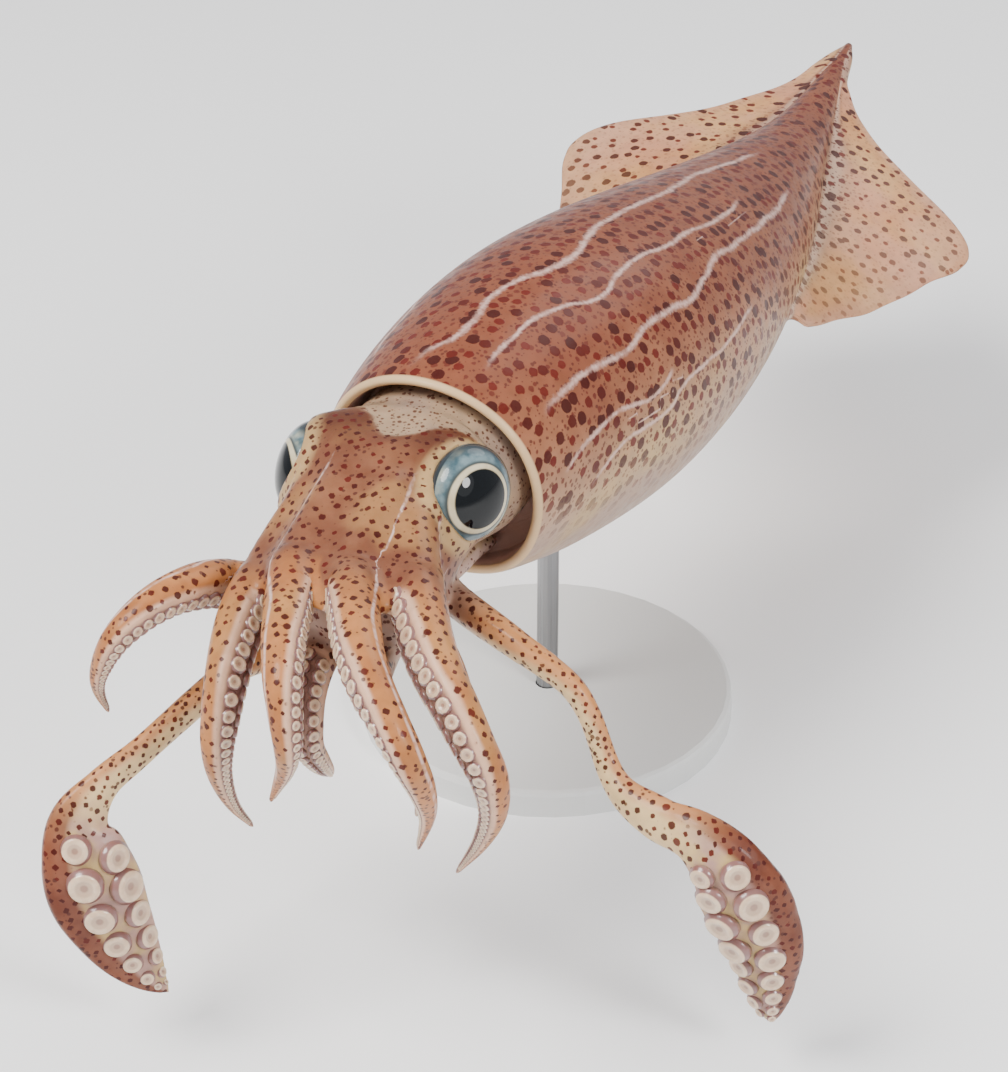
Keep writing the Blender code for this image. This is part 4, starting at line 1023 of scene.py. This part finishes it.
# A low lid of skin rises round each eye.
for vert in crown_bm.verts:
    place = body_place(vert)
    for side in EYE_PLACE:
        reach, deep = eye_reach(place, side)
        if reach < LID_FAR and deep > LID_DEEPEST:
            rise = LID_RISE * math.exp(-((reach - LID_REACH) / LID_SPREAD) ** 2)
            vert.co += EYE_FACING[side] * (rise * MILLIMETRE)

# Marks for the colouring: which face of a limb a place is on, how far along, and so on.
LINE_SAMPLES = 240
shares = np.linspace(0.0, 1.0, LINE_SAMPLES)
limb_lines = [(shares, *limb_frames(limb, shares), *limb_sizes(limb, shares)) for limb in limbs]
limb_tree = search_tree([middle for line in limb_lines for middle in line[1]])

# Painted highlights: pale glint lines that run down the ridge and the back of each arm that
# raises one, on the side of the arm's back that is turned forward and up, where light glints.
LINE_SIDE = np.array((0.0, -0.8, 0.6))
LINE_TURN = math.radians(32.0)
LINE_POINTS = 320
LINE_FADE = 24.0
LINE_ON_RIDGE = (0.20, 0.90, 8)
LINE_ON_ARM_FROM, LINE_ON_ARM_TO, LINE_ON_ARM_POINTS = 0.06, 0.93, 22
LINE_TURNS_OVER = 0.12
glint_line_places, glint_line_ends = [], []
for arm in ARMS.values():
    if "ridge" not in arm:
        continue
    back_line = []
    arm_shares = np.linspace(arm["joins"] + LINE_ON_ARM_FROM, LINE_ON_ARM_TO, LINE_ON_ARM_POINTS)
    for limb, shares in ((ridge_limb(arm), np.linspace(*LINE_ON_RIDGE)), (arm, arm_shares)):
        middles, side, facing, _ = limb_frames(limb, shares)
        width, _, back = (size[:, None] for size in limb_sizes(limb, shares))
        turn = LINE_TURN * np.sign(side @ LINE_SIDE)[:, None] * (limb is arm)
        turn = turn * np.clip((shares - shares[0]) / LINE_TURNS_OVER, 0.0, 1.0)[:, None]
        back_line.append(middles - facing * back * np.cos(turn)
                         + side * 0.5 * width * np.sin(turn))
    glint_line_places.append(curve_through(np.vstack(back_line), np.linspace(0.0, 1.0, LINE_POINTS)))
    from_end = np.minimum(np.arange(LINE_POINTS), LINE_POINTS - 1 - np.arange(LINE_POINTS))
    glint_line_ends.append(np.clip(from_end / LINE_FADE, 0.0, 1.0))
glint_line_places = np.vstack(glint_line_places)
glint_line_ends = np.concatenate(glint_line_ends)
glint_line_ahead = np.gradient(glint_line_places, axis=0)
glint_line_tree = search_tree(glint_line_places)

# Spots on the head and limbs: the half size of each and how many half sizes lie between two.
SPOT_SEED = 5
HEAD_SPOT, SPOTS_APART = 0.84, 3.3
CLUB_SPOT, CLUB_SPOTS_APART = 0.74, 2.9
ARM_SPOT_SHARE, STALK_SPOT_SHARE = 0.076, 0.070
SPOT_LEAST, SPOT_MOST = 0.10, 0.90
SPOT_VARIED = (0.72, 1.18)
CLUB_STARTS = (0.56, 0.66)
CREST_MIDDLE = (-1.5, 3.0)
NECK_EDGE, NECK_TONGUE, NECK_TONGUE_SPREAD = -7.0, 12.0, 0.42
SPOUT_HALF_WIDTH, SPOUT_FRONT, SPOUT_TOP = 13.5, -22.0, -19.5
SPOTS_LOWEST, SPOTS_LOWER_ON_LIMB = -19.0, 200.0
SPOTS_OFF_EYE = 1.10
SPOTS_OFF_LINE = (0.45, 0.35)
CLUB_SPOTS_FROM = 0.60
# Where each mark starts and is full: shares along a limb, half sizes of a limb or an eye,
# millimetres down or along the head, and radians round the neck from the crown.
ROOT_SHARE, ROOT_LIFT = 0.45, 1.1
LIFT_MOST = 1.2
ON_TENTACLE_FROM, ON_ARM_FROM, ON_LIMB_EASE = 0.06, 0.12, 0.14
OFF_LIMB = (1.7, 1.25)
UNDERSIDE = (2.0, -15.0)
NECK_EASE = (-5.0, 4.0)
BROW_DARK_REACH = 10.0
BROW_DARK_ROUND, BROW_PALER_MIDDLE = (1.30, 0.80), (0.45, 0.10)
LID_EDGE = (1.34, 1.10)
LID_WIDER_AHEAD, LID_AHEAD_FROM, LID_AHEAD_OVER = 0.20, -18.0, 16.0
LINE_FARTHEST, LINE_NEAR = 4.0, 2.4
ARM_FACE_FROM = 0.25
CLUB_FACE_TO, CLUB_FACE_BEFORE = 0.45, 0.01


def limb_marks(vert, place):
    """Where a place lies on its nearest limb: the marks, the limb's number, share and width."""
    _, index, _ = limb_tree.find(Vector(place))
    number, k = divmod(index, LINE_SAMPLES)
    shares, middles, sides, facings, _, widths, orals, backs = limb_lines[number]
    share, away = shares[k], place - middles[k]
    lift = float(away @ facings[k])
    lift = lift / (orals[k] if lift > 0.0 else backs[k])
    if share < ROOT_SHARE and number < len(ARMS):
        lift = min(lift, ROOT_LIFT * float(np.array(vert.normal) @ facings[k]))
    across = float(away @ sides[k]) / (0.5 * widths[k])
    on_tentacle = number >= len(ARMS)
    starts = ON_TENTACLE_FROM if on_tentacle else ON_ARM_FROM
    on_limb = float(soft_step(share, starts, starts + ON_LIMB_EASE)) * float(
        soft_step(math.hypot(lift, across), *OFF_LIMB))
    found = {
        "oral": -1.0 + (max(min(lift, LIFT_MOST), -LIFT_MOST) + 1.0) * on_limb,
        "reach": share * on_limb,
        "tentacle": on_limb if on_tentacle else 0.0,
        "club": float(soft_step(share, *CLUB_STARTS)) if on_tentacle else 0.0,
        "under": float(soft_step(place[2], *UNDERSIDE)) * (1.0 - on_limb),
        "outer": across * limbs[number].get("outer", 0.0) * on_limb,
    }
    return found, number, share, widths[k], on_limb


def head_marks(place):
    """Where a place lies on the head: its marks, the neck's edge there and the nearer eye."""
    turned = abs(math.atan2(place[0] - CREST_MIDDLE[0], place[2] - CREST_MIDDLE[1]))
    neck_edge = NECK_EDGE - NECK_TONGUE * math.exp(-(turned / NECK_TONGUE_SPREAD) ** 2)
    nearer_eye = min(eye_reach(place, side)[0] for side in EYE_PLACE)
    ahead = LID_WIDER_AHEAD * min(max((LID_AHEAD_FROM - place[1]) / LID_AHEAD_OVER, 0.0), 1.0)
    in_spout = abs(place[0]) < SPOUT_HALF_WIDTH and place[1] > SPOUT_FRONT and place[2] < SPOUT_TOP
    found = {
        "neck": float(soft_step(place[1], *(neck_edge + ease for ease in NECK_EASE))),
        "brow": math.exp(-((place[1] - BROW_ALONG) / BROW_DARK_REACH) ** 2) * float(
            soft_step(turned, *BROW_DARK_ROUND)) * float(
                1.0 - 0.5 * soft_step(turned, *BROW_PALER_MIDDLE)),
        "lid": float(soft_step(nearer_eye - ahead, *LID_EDGE)),
        "spout": 1.0 if in_spout else 0.0,
    }
    return found, neck_edge, nearer_eye


def glint_line_marks(vert, place):
    """How far a place lies from the nearest painted glint line, to which side, and that line's reach.
    """
    _, index, gap = glint_line_tree.find(Vector(place))
    away = Vector(place) - Vector(glint_line_places[index])
    turned = Vector(glint_line_ahead[index]).cross(vert.normal).dot(away)
    return {"line": math.copysign(min(gap, LINE_FARTHEST), turned),
            "glint_line_reach": float(glint_line_ends[index]) * (gap < LINE_NEAR)}, gap


def spot_form(number, share, width, on_limb):
    """A spot's half size at a place, and how many of them lie between two spots there."""
    on_tentacle = number >= len(ARMS)
    if on_tentacle and share > CLUB_SPOTS_FROM:
        return CLUB_SPOT, CLUB_SPOTS_APART
    if on_limb > 0.5:
        size = (STALK_SPOT_SHARE if on_tentacle else ARM_SPOT_SHARE) * width + SPOT_LEAST
        return min(size, SPOT_MOST), SPOTS_APART
    return HEAD_SPOT, SPOTS_APART


def bare_of_spots(found, number, share):
    """Whether a place is on a sucker face, which carries no large spots."""
    if number < len(ARMS):
        return found["oral"] > ARM_FACE_FROM
    return (found["oral"] > 0.0 and found["outer"] < CLUB_FACE_TO
            and share > limbs[number]["bare"] - CLUB_FACE_BEFORE)


marks = {name: crown_bm.verts.layers.float.new(name) for name in (
    "oral", "reach", "tentacle", "club", "neck", "brow", "under", "lid", "line", "glint_line_reach",
    "spout", "spot", "spot_tint", "outer")}
crown_bm.normal_update()
crown_bm.verts.ensure_lookup_table()
vert_places = np.array([body_place(vert) for vert in crown_bm.verts])
spot_gap, spot_size = np.zeros(len(vert_places)), np.zeros(len(vert_places))
for vert, place in zip(crown_bm.verts, vert_places):
    found, number, share, width, on_limb = limb_marks(vert, place)
    on_head, neck_edge, nearer_eye = head_marks(place)
    on_glint_line, glint_line_gap = glint_line_marks(vert, place)
    for name, value in {**found, **on_head, **on_glint_line}.items():
        vert[marks[name]] = value
    size, apart = spot_form(number, share, width, on_limb)
    spot_size[vert.index] = size
    off_limits = bare_of_spots(found, number, share) or place[1] > neck_edge
    off_glint_line = SPOTS_OFF_LINE[0] * size + SPOTS_OFF_LINE[1]
    off_limits = off_limits or nearer_eye < SPOTS_OFF_EYE or glint_line_gap < off_glint_line
    off_limits = off_limits or place[2] < SPOTS_LOWEST - SPOTS_LOWER_ON_LIMB * on_limb
    spot_gap[vert.index] = 0.0 if off_limits else apart * size


def scattered(places, gaps, draw):
    """Places picked in a random order, none nearer to another than the gap asked there."""
    order = [k for k in range(len(places)) if gaps[k] > 0.0]
    draw.shuffle(order)
    cell = float(gaps.max())
    grid, picked = {}, []
    for k in order:
        here = places[k]
        x, y, z = (int(c // cell) for c in here)
        close = (other for i in (x - 1, x, x + 1) for j in (y - 1, y, y + 1)
                 for m in (z - 1, z, z + 1) for other in grid.get((i, j, m), ()))
        if all((here[0] - o[0]) ** 2 + (here[1] - o[1]) ** 2 + (here[2] - o[2]) ** 2
               > (0.5 * (gaps[k] + o[3])) ** 2 for o in close):
            grid.setdefault((x, y, z), []).append((*here, gaps[k]))
            picked.append(k)
    return picked


draw = random.Random(SPOT_SEED)
picked = scattered(vert_places, spot_gap, draw)
spot_tree = search_tree(vert_places[picked])
spot_grow = [draw.uniform(*SPOT_VARIED) for _ in picked]
spot_tints = [draw.random() for _ in picked]
for vert, place in zip(crown_bm.verts, vert_places):
    _, number, gap = spot_tree.find(Vector(place))
    vert[marks["spot"]] = min(gap / (spot_size[picked[number]] * spot_grow[number]), 3.0)
    vert[marks["spot_tint"]] = spot_tints[number]


f = head_finish = Finish("head_and_arm_moist_skin", **MOIST_SKIN)
oral, reach, outer = f.mark("oral"), f.mark("reach"), f.mark("outer")
tentacle, club, neck, brow = f.mark("tentacle"), f.mark("club"), f.mark("neck"), f.mark("brow")
under, lid, spout = f.mark("under"), f.mark("lid"), f.mark("spout")
mottle = f.noise(70.0, 5.0)
fine_mottle = f.noise(300.0, 4.0)
patchy = f.step(mottle, 0.36, 0.64)
skin = f.mix(patchy, (0.215, 0.086, 0.042), (0.155, 0.055, 0.028))
yellow = f.step(f.noise(45.0, 2.0), 0.48, 0.64)
on_arm = f.step(f.scaled(mottle, 0.12, reach), 0.16, 0.40)
arm_tint = f.mix(patchy, (0.40, 0.158, 0.052), (0.32, 0.116, 0.038))
skin = f.mix(on_arm, skin, arm_tint)
skin = f.mix(f.times(yellow, 0.40), skin, (0.40, 0.205, 0.068))
skin = f.mix(f.times(brow, 0.92), skin, (0.076, 0.021, 0.010))
pale_side = f.step(f.scaled(mottle, 0.45, oral), 0.22, 0.66)
skin = f.mix(f.times(pale_side, 0.92), skin, (0.60, 0.37, 0.25))
turned_in = f.scaled(outer, -0.85, f.times(oral, 0.35))
stalk_tint = f.mix(f.step(f.scaled(mottle, 0.7, turned_in), -0.10, 0.62),
                   (0.46, 0.195, 0.065), (0.66, 0.48, 0.23))
skin = f.mix(f.times(tentacle, 0.85), skin, stalk_tint)
club_back = f.mix(patchy, (0.108, 0.028, 0.014), (0.172, 0.054, 0.027))
club_face = f.mix(f.step(f.noise(120.0, 3.0), 0.40, 0.62), (0.36, 0.215, 0.180),
                  (0.49, 0.335, 0.140))
field = f.times(f.step(oral, -0.30, 0.30), f.step(f.scaled(mottle, 0.30, outer), 0.66, 0.40))
club_tint = f.mix(field, club_back, club_face)
skin = f.mix(club, skin, club_tint)
arm_face = f.mix(f.step(mottle, 0.34, 0.66), (0.170, 0.080, 0.066), (0.27, 0.150, 0.110))
face_here = f.times(f.step(oral, 0.58, 0.80), f.step(tentacle, 0.2, 0.8, 1.0, 0.12))
skin = f.mix(face_here, skin, arm_face)
skin = f.mix(f.times(under, 0.85), skin, (0.40, 0.285, 0.235))
neck = f.step(f.scaled(fine_mottle, 0.5, neck), 0.55, 0.95)
# A dark band where the pale neck meets the brows: partly the skin's own darker edge, partly painted
# shade behind the raised brows.
crest = f.times(f.step(neck, 0.02, 0.30), f.step(neck, 0.75, 0.40))
neck_tint = f.mix(patchy, (0.265, 0.182, 0.135), (0.315, 0.210, 0.130))
skin = f.mix(neck, skin, neck_tint)
# Partly painted shade: the dark band laid at the neck's edge.
skin = f.mix(f.times(crest, 0.45), skin, (0.110, 0.036, 0.020))
skin = f.mix(f.times(spout, 0.8), skin, (0.38, 0.255, 0.215))
skin = f.mix(f.times(lid, 0.70), skin, (0.47, 0.31, 0.135))
skin = f.grained(skin, fine_mottle)
shaken = f.shaken(1500.0, 0.0004)
small_spots, _ = spots(f, shaken, 600.0, 0.0, 0.36, 0.07)
neck_spots, _ = spots(f, shaken, 850.0, 0.0, 0.40, 0.08)
small_spots = f.maths("MAXIMUM", small_spots, f.times(neck_spots, neck))
# Painted highlight: the pale glint lines down the arms, with no dots on them.
glint_line_gap = f.maths("ABSOLUTE", f.mark("line"))
line = f.times(f.step(glint_line_gap, 0.16, 0.78, 1.0, 0.0), f.mark("glint_line_reach"))
line = f.times(line, f.step(f.noise(420.0, 2.0), 0.38, 0.54, 0.30, 1.0))
uneven = f.scaled(f.noise(900.0, 2.0), 0.5, f.mark("spot"))
big_spots = f.step(uneven, 1.10, 1.38, 1.0, 0.0)
off_stalk = f.maths("MAXIMUM", f.step(tentacle, 0.2, 0.8, 1.0, 0.0), f.times(club, field))
bare_face = f.times(f.step(oral, 0.30, 0.62), off_stalk)
dots_here = f.times(small_spots, f.scaled(bare_face, -0.85, 0.85))
skin = f.mix(f.times(dots_here, f.step(line, 0.1, 0.4, 1.0, 0.0)), skin,
             (0.062, 0.016, 0.011))
spot_red = f.mix(f.step(f.mark("spot_tint"), -0.35, 0.75), BRICK, DARK_BRICK)
skin = f.mix(f.times(big_spots, 0.95), skin, spot_red)
# Painted highlight: the glint lines laid over the spots in the pale glint tint.
skin = f.mix(f.times(line, 0.82), skin, PAINTED_GLINT)
f.set("Base Color", skin)
f.bump(f.scaled(fine_mottle, 0.7, f.times(big_spots, 0.25)), 0.32, 0.0005)
f.set("Roughness", f.step(fine_mottle, 0.3, 0.7, 0.30, 0.48))
crown_skin = make_piece("head_and_arms_skin", crown_bm, head_finish)
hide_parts("head", "funnel", *[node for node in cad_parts
                                            if node.startswith(("arm_", "tentacle_", "club_"))])


# The suckers: short stalked cups of muscle with a horny inner ring, in two rows a limb. Each
# is a turned cup set into the sucker face; they crowd closer and smaller toward the tips.
CUP_PROFILE = [(1.12, -0.35, 1.75), (1.15, 0.06, 1.6), (0.98, 0.19, 1.3), (0.92, 0.36, 1.0),
               (0.76, 0.44, 0.80), (0.50, 0.35, 0.46), (0.20, 0.27, 0.15), (0.0, 0.27, 0.0)]
ARM_SUCKER = {"sides": 10, "radius": 0.168, "least": 0.36, "row": 0.215, "pitch": 0.285,
              "spare": 0.30, "last": 0.975}
CLUB_SUCKER = {"sides": 22, "radius": 0.170, "least": 0.50, "row": 0.205, "pitch": 0.395,
               "spare": 0.35, "last": 0.975}
CLUB_SHIFT = 0.11
CUP_SPLAY = 0.25
LAST_CUP = 0.985
LENGTH_SAMPLES = 200
SUCKER_VARIED = 0.07
SUCKER_SEED = 11


def turned_cup(sides):
    """One cup, a unit across from middle to lip, turned about its upright axis."""
    bm = bmesh.new()
    ring_mark = bm.verts.layers.float.new("cup")
    profile = []
    for out, up, mark in CUP_PROFILE:
        vert = bm.verts.new((out, 0.0, up))
        vert[ring_mark] = mark
        profile.append(vert)
    edges = [bm.edges.new(pair) for pair in zip(profile, profile[1:])]
    bmesh.ops.spin(bm, geom=profile + edges, cent=(0, 0, 0), axis=(0, 0, 1),
                   angle=2 * math.pi, steps=sides, use_merge=True)
    bmesh.ops.remove_doubles(bm, verts=bm.verts, dist=1e-4)
    bmesh.ops.holes_fill(bm, edges=[edge for edge in bm.edges if edge.is_boundary])
    bmesh.ops.recalc_face_normals(bm, faces=bm.faces)
    return mesh_from("cup", bm)


def add_suckers(bm, limb, form, cup_mesh, draw):
    """Two rows of cups along one limb, each leaning out and turned to the skin."""
    length = float(np.linalg.norm(np.diff(curve_through(
        limb["line"], np.linspace(0.0, 1.0, LENGTH_SAMPLES)), axis=0), axis=1).sum())
    share = limb["bare"]
    while share < form["last"]:
        width = float(limb_sizes(limb, np.array([share]))[0][0])
        step = (form["pitch"] * width + form["spare"]) / length
        for row in (-1.0, 1.0):
            at = min(share + (0.5 * step if row > 0 else 0.0), LAST_CUP)
            width, oral_depth, _ = (float(size[0]) for size in limb_sizes(limb, np.array([at])))
            middle, side, facing, forward = (
                Vector(part[0]) for part in limb_frames(limb, np.array([at])))
            shift = CLUB_SHIFT * limb.get("outer", 0.0)
            lean = math.asin(2.0 * (form["row"] * row - shift))
            place = middle + side * (0.5 * width * math.sin(lean)) + facing * (
                oral_depth * math.cos(lean))
            outward = (side * (math.sin(lean) / (0.5 * width))
                       + facing * (math.cos(lean) / oral_depth)).normalized()
            outward = (outward + side * (CUP_SPLAY * row)).normalized()
            across = (forward - outward * forward.dot(outward)).normalized()
            radius = max(form["radius"] * width, form["least"])
            radius *= 1.0 + SUCKER_VARIED * draw.uniform(-1.0, 1.0)
            turn = Matrix((across, outward.cross(across), outward)).transposed().to_4x4()
            place = Matrix.Translation((place + Vector(BODY_PLACE)) * MILLIMETRE)
            start = len(bm.verts)
            bm.from_mesh(cup_mesh)
            bm.verts.ensure_lookup_table()
            bmesh.ops.transform(bm, matrix=place @ turn @ Matrix.Scale(radius * MILLIMETRE, 4),
                                verts=bm.verts[start:])
        share += step


cup_finish = Finish("sucker_moist_flesh", Roughness=0.30, Coat_Weight=0.5, Coat_Roughness=0.12,
                    Subsurface_Weight=0.15, Subsurface_Scale=0.003)
f = cup_finish
cup = f.mark("cup")
grain = f.noise(500.0, 3.0)
flesh = f.mix(f.step(grain, 0.35, 0.65), (0.56, 0.39, 0.255), (0.64, 0.47, 0.32))
flesh = f.mix(f.step(cup, 0.62, 0.40), flesh, (0.47, 0.315, 0.215))
flesh = f.mix(f.step(cup, 0.26, 0.12), flesh, (0.30, 0.170, 0.115))
rim_band = f.times(f.step(cup, 1.00, 1.18), f.step(cup, 1.85, 1.62))
flesh = f.mix(f.times(rim_band, 0.95), flesh, (0.185, 0.075, 0.070))
flesh = f.mix(f.step(cup, 1.62, 1.80), flesh, (0.26, 0.150, 0.125))
f.set("Base Color", flesh)
f.bump(grain, 0.25, 0.0003)
draw = random.Random(SUCKER_SEED)
arm_cups, arm_cup = bmesh.new(), turned_cup(ARM_SUCKER["sides"])
for arm in ARMS.values():
    add_suckers(arm_cups, arm, ARM_SUCKER, arm_cup, draw)
make_piece("arm_suckers", arm_cups, cup_finish)
club_cups, club_cup = bmesh.new(), turned_cup(CLUB_SUCKER["sides"])
for tentacle in TENTACLES.values():
    add_suckers(club_cups, tentacle, CLUB_SUCKER, club_cup, draw)
make_piece("club_suckers", club_cups, cup_finish)


# The eyes: a clear dome over a silver-blue iris with a cream ring round a wide black pupil.
# One glossy cast ball a side, its colours laid in rings round the way it looks.
eye_finish = Finish("eye_gloss", Roughness=0.12, IOR=1.15, Coat_Weight=0.50,
                    Coat_Roughness=0.02)
f = eye_finish
gaze = f.mark("gaze")
fleck = f.noise(260.0, 4.0)
streaky = f.noise(120.0, 3.0)
iris = f.mix(f.step(fleck, 0.34, 0.66), (0.040, 0.078, 0.096), (0.150, 0.210, 0.225))
iris = f.mix(f.times(f.step(streaky, 0.48, 0.66), 0.7), iris, (0.36, 0.36, 0.27))
# Painted shade: the iris darkens toward the ball's edge, where the ball sinks into its socket.
iris = f.mix(f.step(gaze, 0.86, 1.04), iris, (0.020, 0.028, 0.034))
iris = f.mix(f.step(gaze, 0.80, 0.74), iris, (0.045, 0.055, 0.055))
ring = f.mix(f.step(fleck, 0.30, 0.70), (0.46, 0.38, 0.23), (0.55, 0.48, 0.33))
shade = f.mix(f.step(gaze, 0.705, 0.740), ring, iris)
shade = f.mix(f.step(gaze, 0.640, 0.605), shade, (0.002, 0.003, 0.004))
f.set("Base Color", shade)
f.set("Roughness", f.step(gaze, 0.58, 0.72, 0.05, 0.20))
for side in EYE_PLACE:
    ball = eye_shape(side, 0.0, *EYE_SEGMENTS)
    eye = make_piece("eye_" + side + "_ball", ball, eye_finish)
    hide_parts("eye_" + side)


# The stand: a turned steel disc in satin off-white paint and a short brushed steel rod that
# plugs into the belly. Both keep the model's own solids.
paint = Finish("stand_satin_paint", Coat_Weight=0.2, Coat_Roughness=0.3)
speck = paint.noise(900.0, 3.0)
paint.set("Base Color", paint.mix(paint.noise(12.0, 3.0), (0.60, 0.60, 0.585),
                                  (0.66, 0.66, 0.645)))
paint.set("Roughness", paint.step(speck, 0.3, 0.7, 0.38, 0.50))
paint.bump(speck, 0.12, 0.0002)
steel = Finish("stand_brushed_steel", Metallic=1.0)
stretched = steel.node("ShaderNodeMapping")
stretched.inputs["Scale"].default_value = (900.0, 900.0, 14.0)
steel.feed(stretched.inputs["Vector"], steel.places)
brushed = steel.noise(1.0, 2.0, stretched.outputs[0])
steel.set("Base Color", steel.mix(brushed, (0.20, 0.20, 0.21), (0.34, 0.34, 0.34)))
steel.set("Roughness", steel.step(brushed, 0.3, 0.7, 0.24, 0.40))
for node, finish in (("stand_base", paint), ("stand_rod", steel)):
    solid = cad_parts[node]
    solid.data.materials.clear()
    solid.data.materials.append(finish.material)
